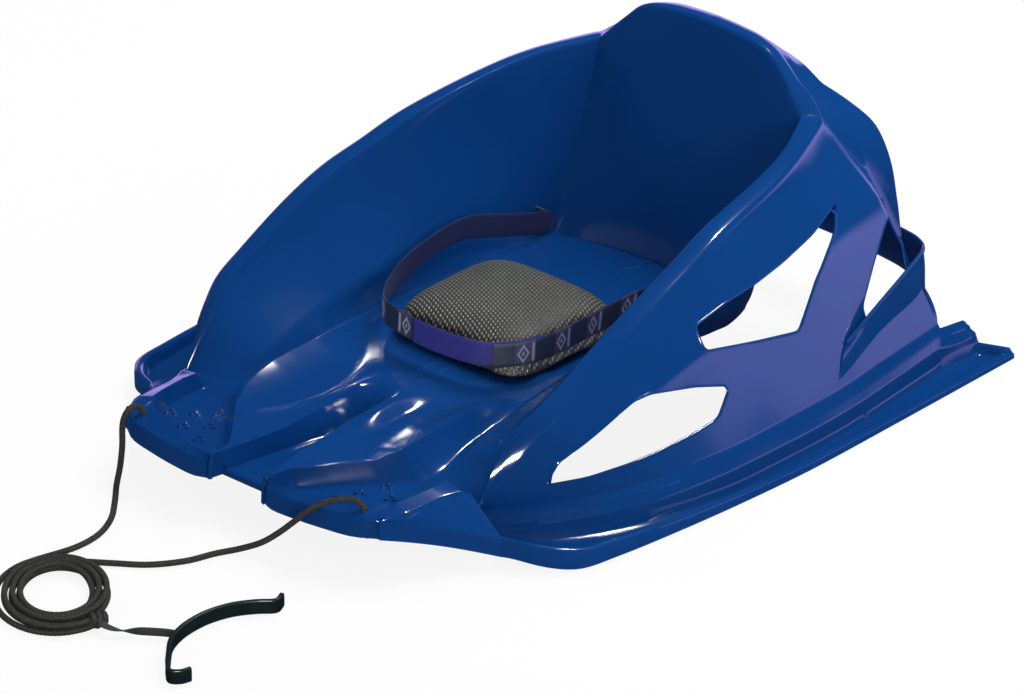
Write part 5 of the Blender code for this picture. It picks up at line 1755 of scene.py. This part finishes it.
# Each light: place, size across and along, power in watts, and whether only gloss shows it or only the rest
SOFTBOXES = {
    "softbox_above": ((0.10, 1.00, 2.20), (1.4, 1.4), 42.0, False),
    "softbox_left": ((-1.90, -0.60, 1.00), (0.8, 0.9), 7.0, False),
    "softbox_right": ((2.00, -0.60, 1.00), (0.8, 0.8), 11.0, False),
    "strip_camera": ((1.50, -1.90, 0.95), (0.22, 0.22), 75.0, True),
    "strip_above": ((0.00, 1.15, 2.35), (0.15, 0.15), 32.0, True),
}


# What gloss sees low behind the sled, and what the eye sees
LILAC = (0.55, 0.42, 1.0, 1.0)
WHITE = (1.0, 1.0, 1.0, 1.0)
FLOOR_HALF = 12.0


def place_camera(stage):
    """The camera at the photograph's angle."""
    around, up = math.radians(stage.azimuth), math.radians(stage.elevation)
    away = Vector((math.sin(around) * math.cos(up), -math.cos(around) * math.cos(up), math.sin(up)))
    data = bpy.data.cameras.new("camera")
    data.lens = stage.lens
    data.sensor_width = 36.0
    data.clip_end = 60.0
    camera = placed("camera", data)
    camera.location = AIM + away * stage.distance
    camera.rotation_euler = (-away).to_track_quat("-Z", "Y").to_euler()
    bpy.context.scene.camera = camera


def glowing(tree, colour):
    """A shader that gives off light."""
    glow = tree.nodes.new("ShaderNodeEmission")
    glow.inputs["Color"].default_value = colour
    return glow


def blended(tree, share, first, second):
    """The output of a shader that goes from the first to the second."""
    blend = tree.nodes.new("ShaderNodeMixShader")
    for number, socket in enumerate((share, first, second)):
        tree.links.new(socket, blend.inputs[number])
    return blend.outputs[0]


def floor_finish(colour):
    """A pale floor that keeps a soft shadow. To gloss it is dark, but for lilac far behind the sled."""
    made = Finish("stage_floor", Base_Color=(*colour, 1.0), Roughness=0.9, Specular_IOR_Level=0.0)
    seen = made.node("ShaderNodeLightPath", output="Is Camera Ray")
    gloss = made.node("ShaderNodeLightPath", output="Is Glossy Ray")
    reach = made.node("ShaderNodeLightPath", output="Ray Length")
    tree = made.tree
    glow, dim = glowing(tree, WHITE), glowing(tree, LILAC)
    behind = made.place()[1].step(0.30, 1.30)
    tree.links.new((reach.step(0.35, 1.6) * behind * 2.0 + 0.03).socket, dim.inputs["Strength"])
    lit = blended(tree, (seen * 0.88).socket, made.shader.outputs[0], glow.outputs[0])
    seen_by_all = blended(tree, gloss.socket, lit, dim.outputs[0])
    tree.links.new(seen_by_all, tree.nodes["Material Output"].inputs["Surface"])
    return made.material


def world_light():
    """White to the eye. To gloss it is a lilac band low behind the sled, and dark elsewhere."""
    world = bpy.data.worlds.new("studio")
    bpy.context.scene.world = world
    world.use_nodes = True
    tree = world.node_tree
    background = tree.nodes["Background"]
    path = tree.nodes.new("ShaderNodeLightPath")
    eye = Value(tree, path.outputs["Is Camera Ray"])
    gloss = Value(tree, path.outputs["Is Glossy Ray"])
    sight = tree.nodes.new("ShaderNodeTexCoord")
    split = tree.nodes.new("ShaderNodeSeparateXYZ")
    tree.links.new(sight.outputs["Generated"], split.inputs[0])
    behind, height = Value(tree, split.outputs[1]), Value(tree, split.outputs[2])
    band = (1.0 - height.step(0.05, 0.20)) * behind.step(0.30, 0.50)
    strength = eye.highest(gloss * (0.03 + 2.2 * band)).highest((1.0 - gloss) * (1.0 - eye) * 0.36)
    tree.links.new(strength.socket, background.inputs["Strength"])
    tint = tree.nodes.new("ShaderNodeMix")
    tint.data_type = "RGBA"
    tree.links.new(gloss.socket, tint.inputs[0])
    tint.inputs[6].default_value = WHITE
    tint.inputs[7].default_value = LILAC
    tree.links.new(tint.outputs[2], background.inputs["Color"])


class SLED_OT_stage(bpy.types.Operator):
    """Place the camera, the floor, the world and the softboxes"""

    bl_idname = "sled.stage"
    bl_label = "Stage"

    def execute(self, context):
        stage = context.scene.sled_stage
        context.scene.view_settings.view_transform = "Standard"
        place_camera(stage)
        world_light()
        data = bpy.data.meshes.new("stage_floor")
        corners = [(x * FLOOR_HALF, y * FLOOR_HALF, 0.0) for x, y in ((-1, -1), (1, -1), (1, 1), (-1, 1))]
        data.from_pydata(corners, [], [(0, 1, 2, 3)])
        data.materials.append(floor_finish(stage.floor_colour))
        floor = placed("stage_floor", data)
        floor.location.z = min(0.0, CAD_BOX[0][2]) - 0.0002
        for name, (place, size, power, shown) in SOFTBOXES.items():
            lamp = bpy.data.lights.new(name, "AREA")
            lamp.shape = "RECTANGLE"
            lamp.size, lamp.size_y = size
            lamp.energy = power
            obj = placed(name, lamp)
            obj.location = place
            obj.visible_glossy = shown
            obj.visible_diffuse = not shown
            obj.rotation_euler = (AIM - Vector(place)).to_track_quat("-Z", "Y").to_euler()
        return {"FINISHED"}


class SLED_PT_panel(bpy.types.Panel):
    """The sled's pieces and their sizes."""

    bl_idname = "SLED_PT_panel"
    bl_label = "Bucket sled"
    bl_space_type = "VIEW_3D"
    bl_region_type = "UI"
    bl_category = "Sled"

    def draw(self, context):
        for operator in OPERATORS:
            self.layout.operator(operator.bl_idname)
        for name, group in GROUPS.items():
            box = self.layout.box()
            for label in group.__annotations__:
                box.prop(getattr(context.scene, name), label)


GROUPS = {"sled_stage": SledStage, "sled_handle": SledHandle, "sled_rope": SledRope,
          "sled_moulding": SledMoulding, "sled_pad": SledPad, "sled_belt": SledBelt}
OPERATORS = (SLED_OT_stage, SLED_OT_handle, SLED_OT_rope, SLED_OT_moulding, SLED_OT_pad, SLED_OT_belt)


def register():
    """Puts the classes and their settings into Blender."""
    for group in GROUPS.values():
        bpy.utils.register_class(group)
    for name, group in GROUPS.items():
        setattr(bpy.types.Scene, name, PointerProperty(type=group))
    for operator in OPERATORS:
        bpy.utils.register_class(operator)
    bpy.utils.register_class(SLED_PT_panel)


def unregister():
    """Takes the classes and their settings out again."""
    bpy.utils.unregister_class(SLED_PT_panel)
    for operator in reversed(OPERATORS):
        bpy.utils.unregister_class(operator)
    for name, group in GROUPS.items():
        delattr(bpy.types.Scene, name)
        bpy.utils.unregister_class(group)


def main():
    register()
    bpy.ops.sled.stage()
    bpy.ops.sled.handle()
    bpy.ops.sled.rope()
    bpy.ops.sled.moulding()
    bpy.ops.sled.pad()
    bpy.ops.sled.belt()


if __name__ == "__main__":
    main()
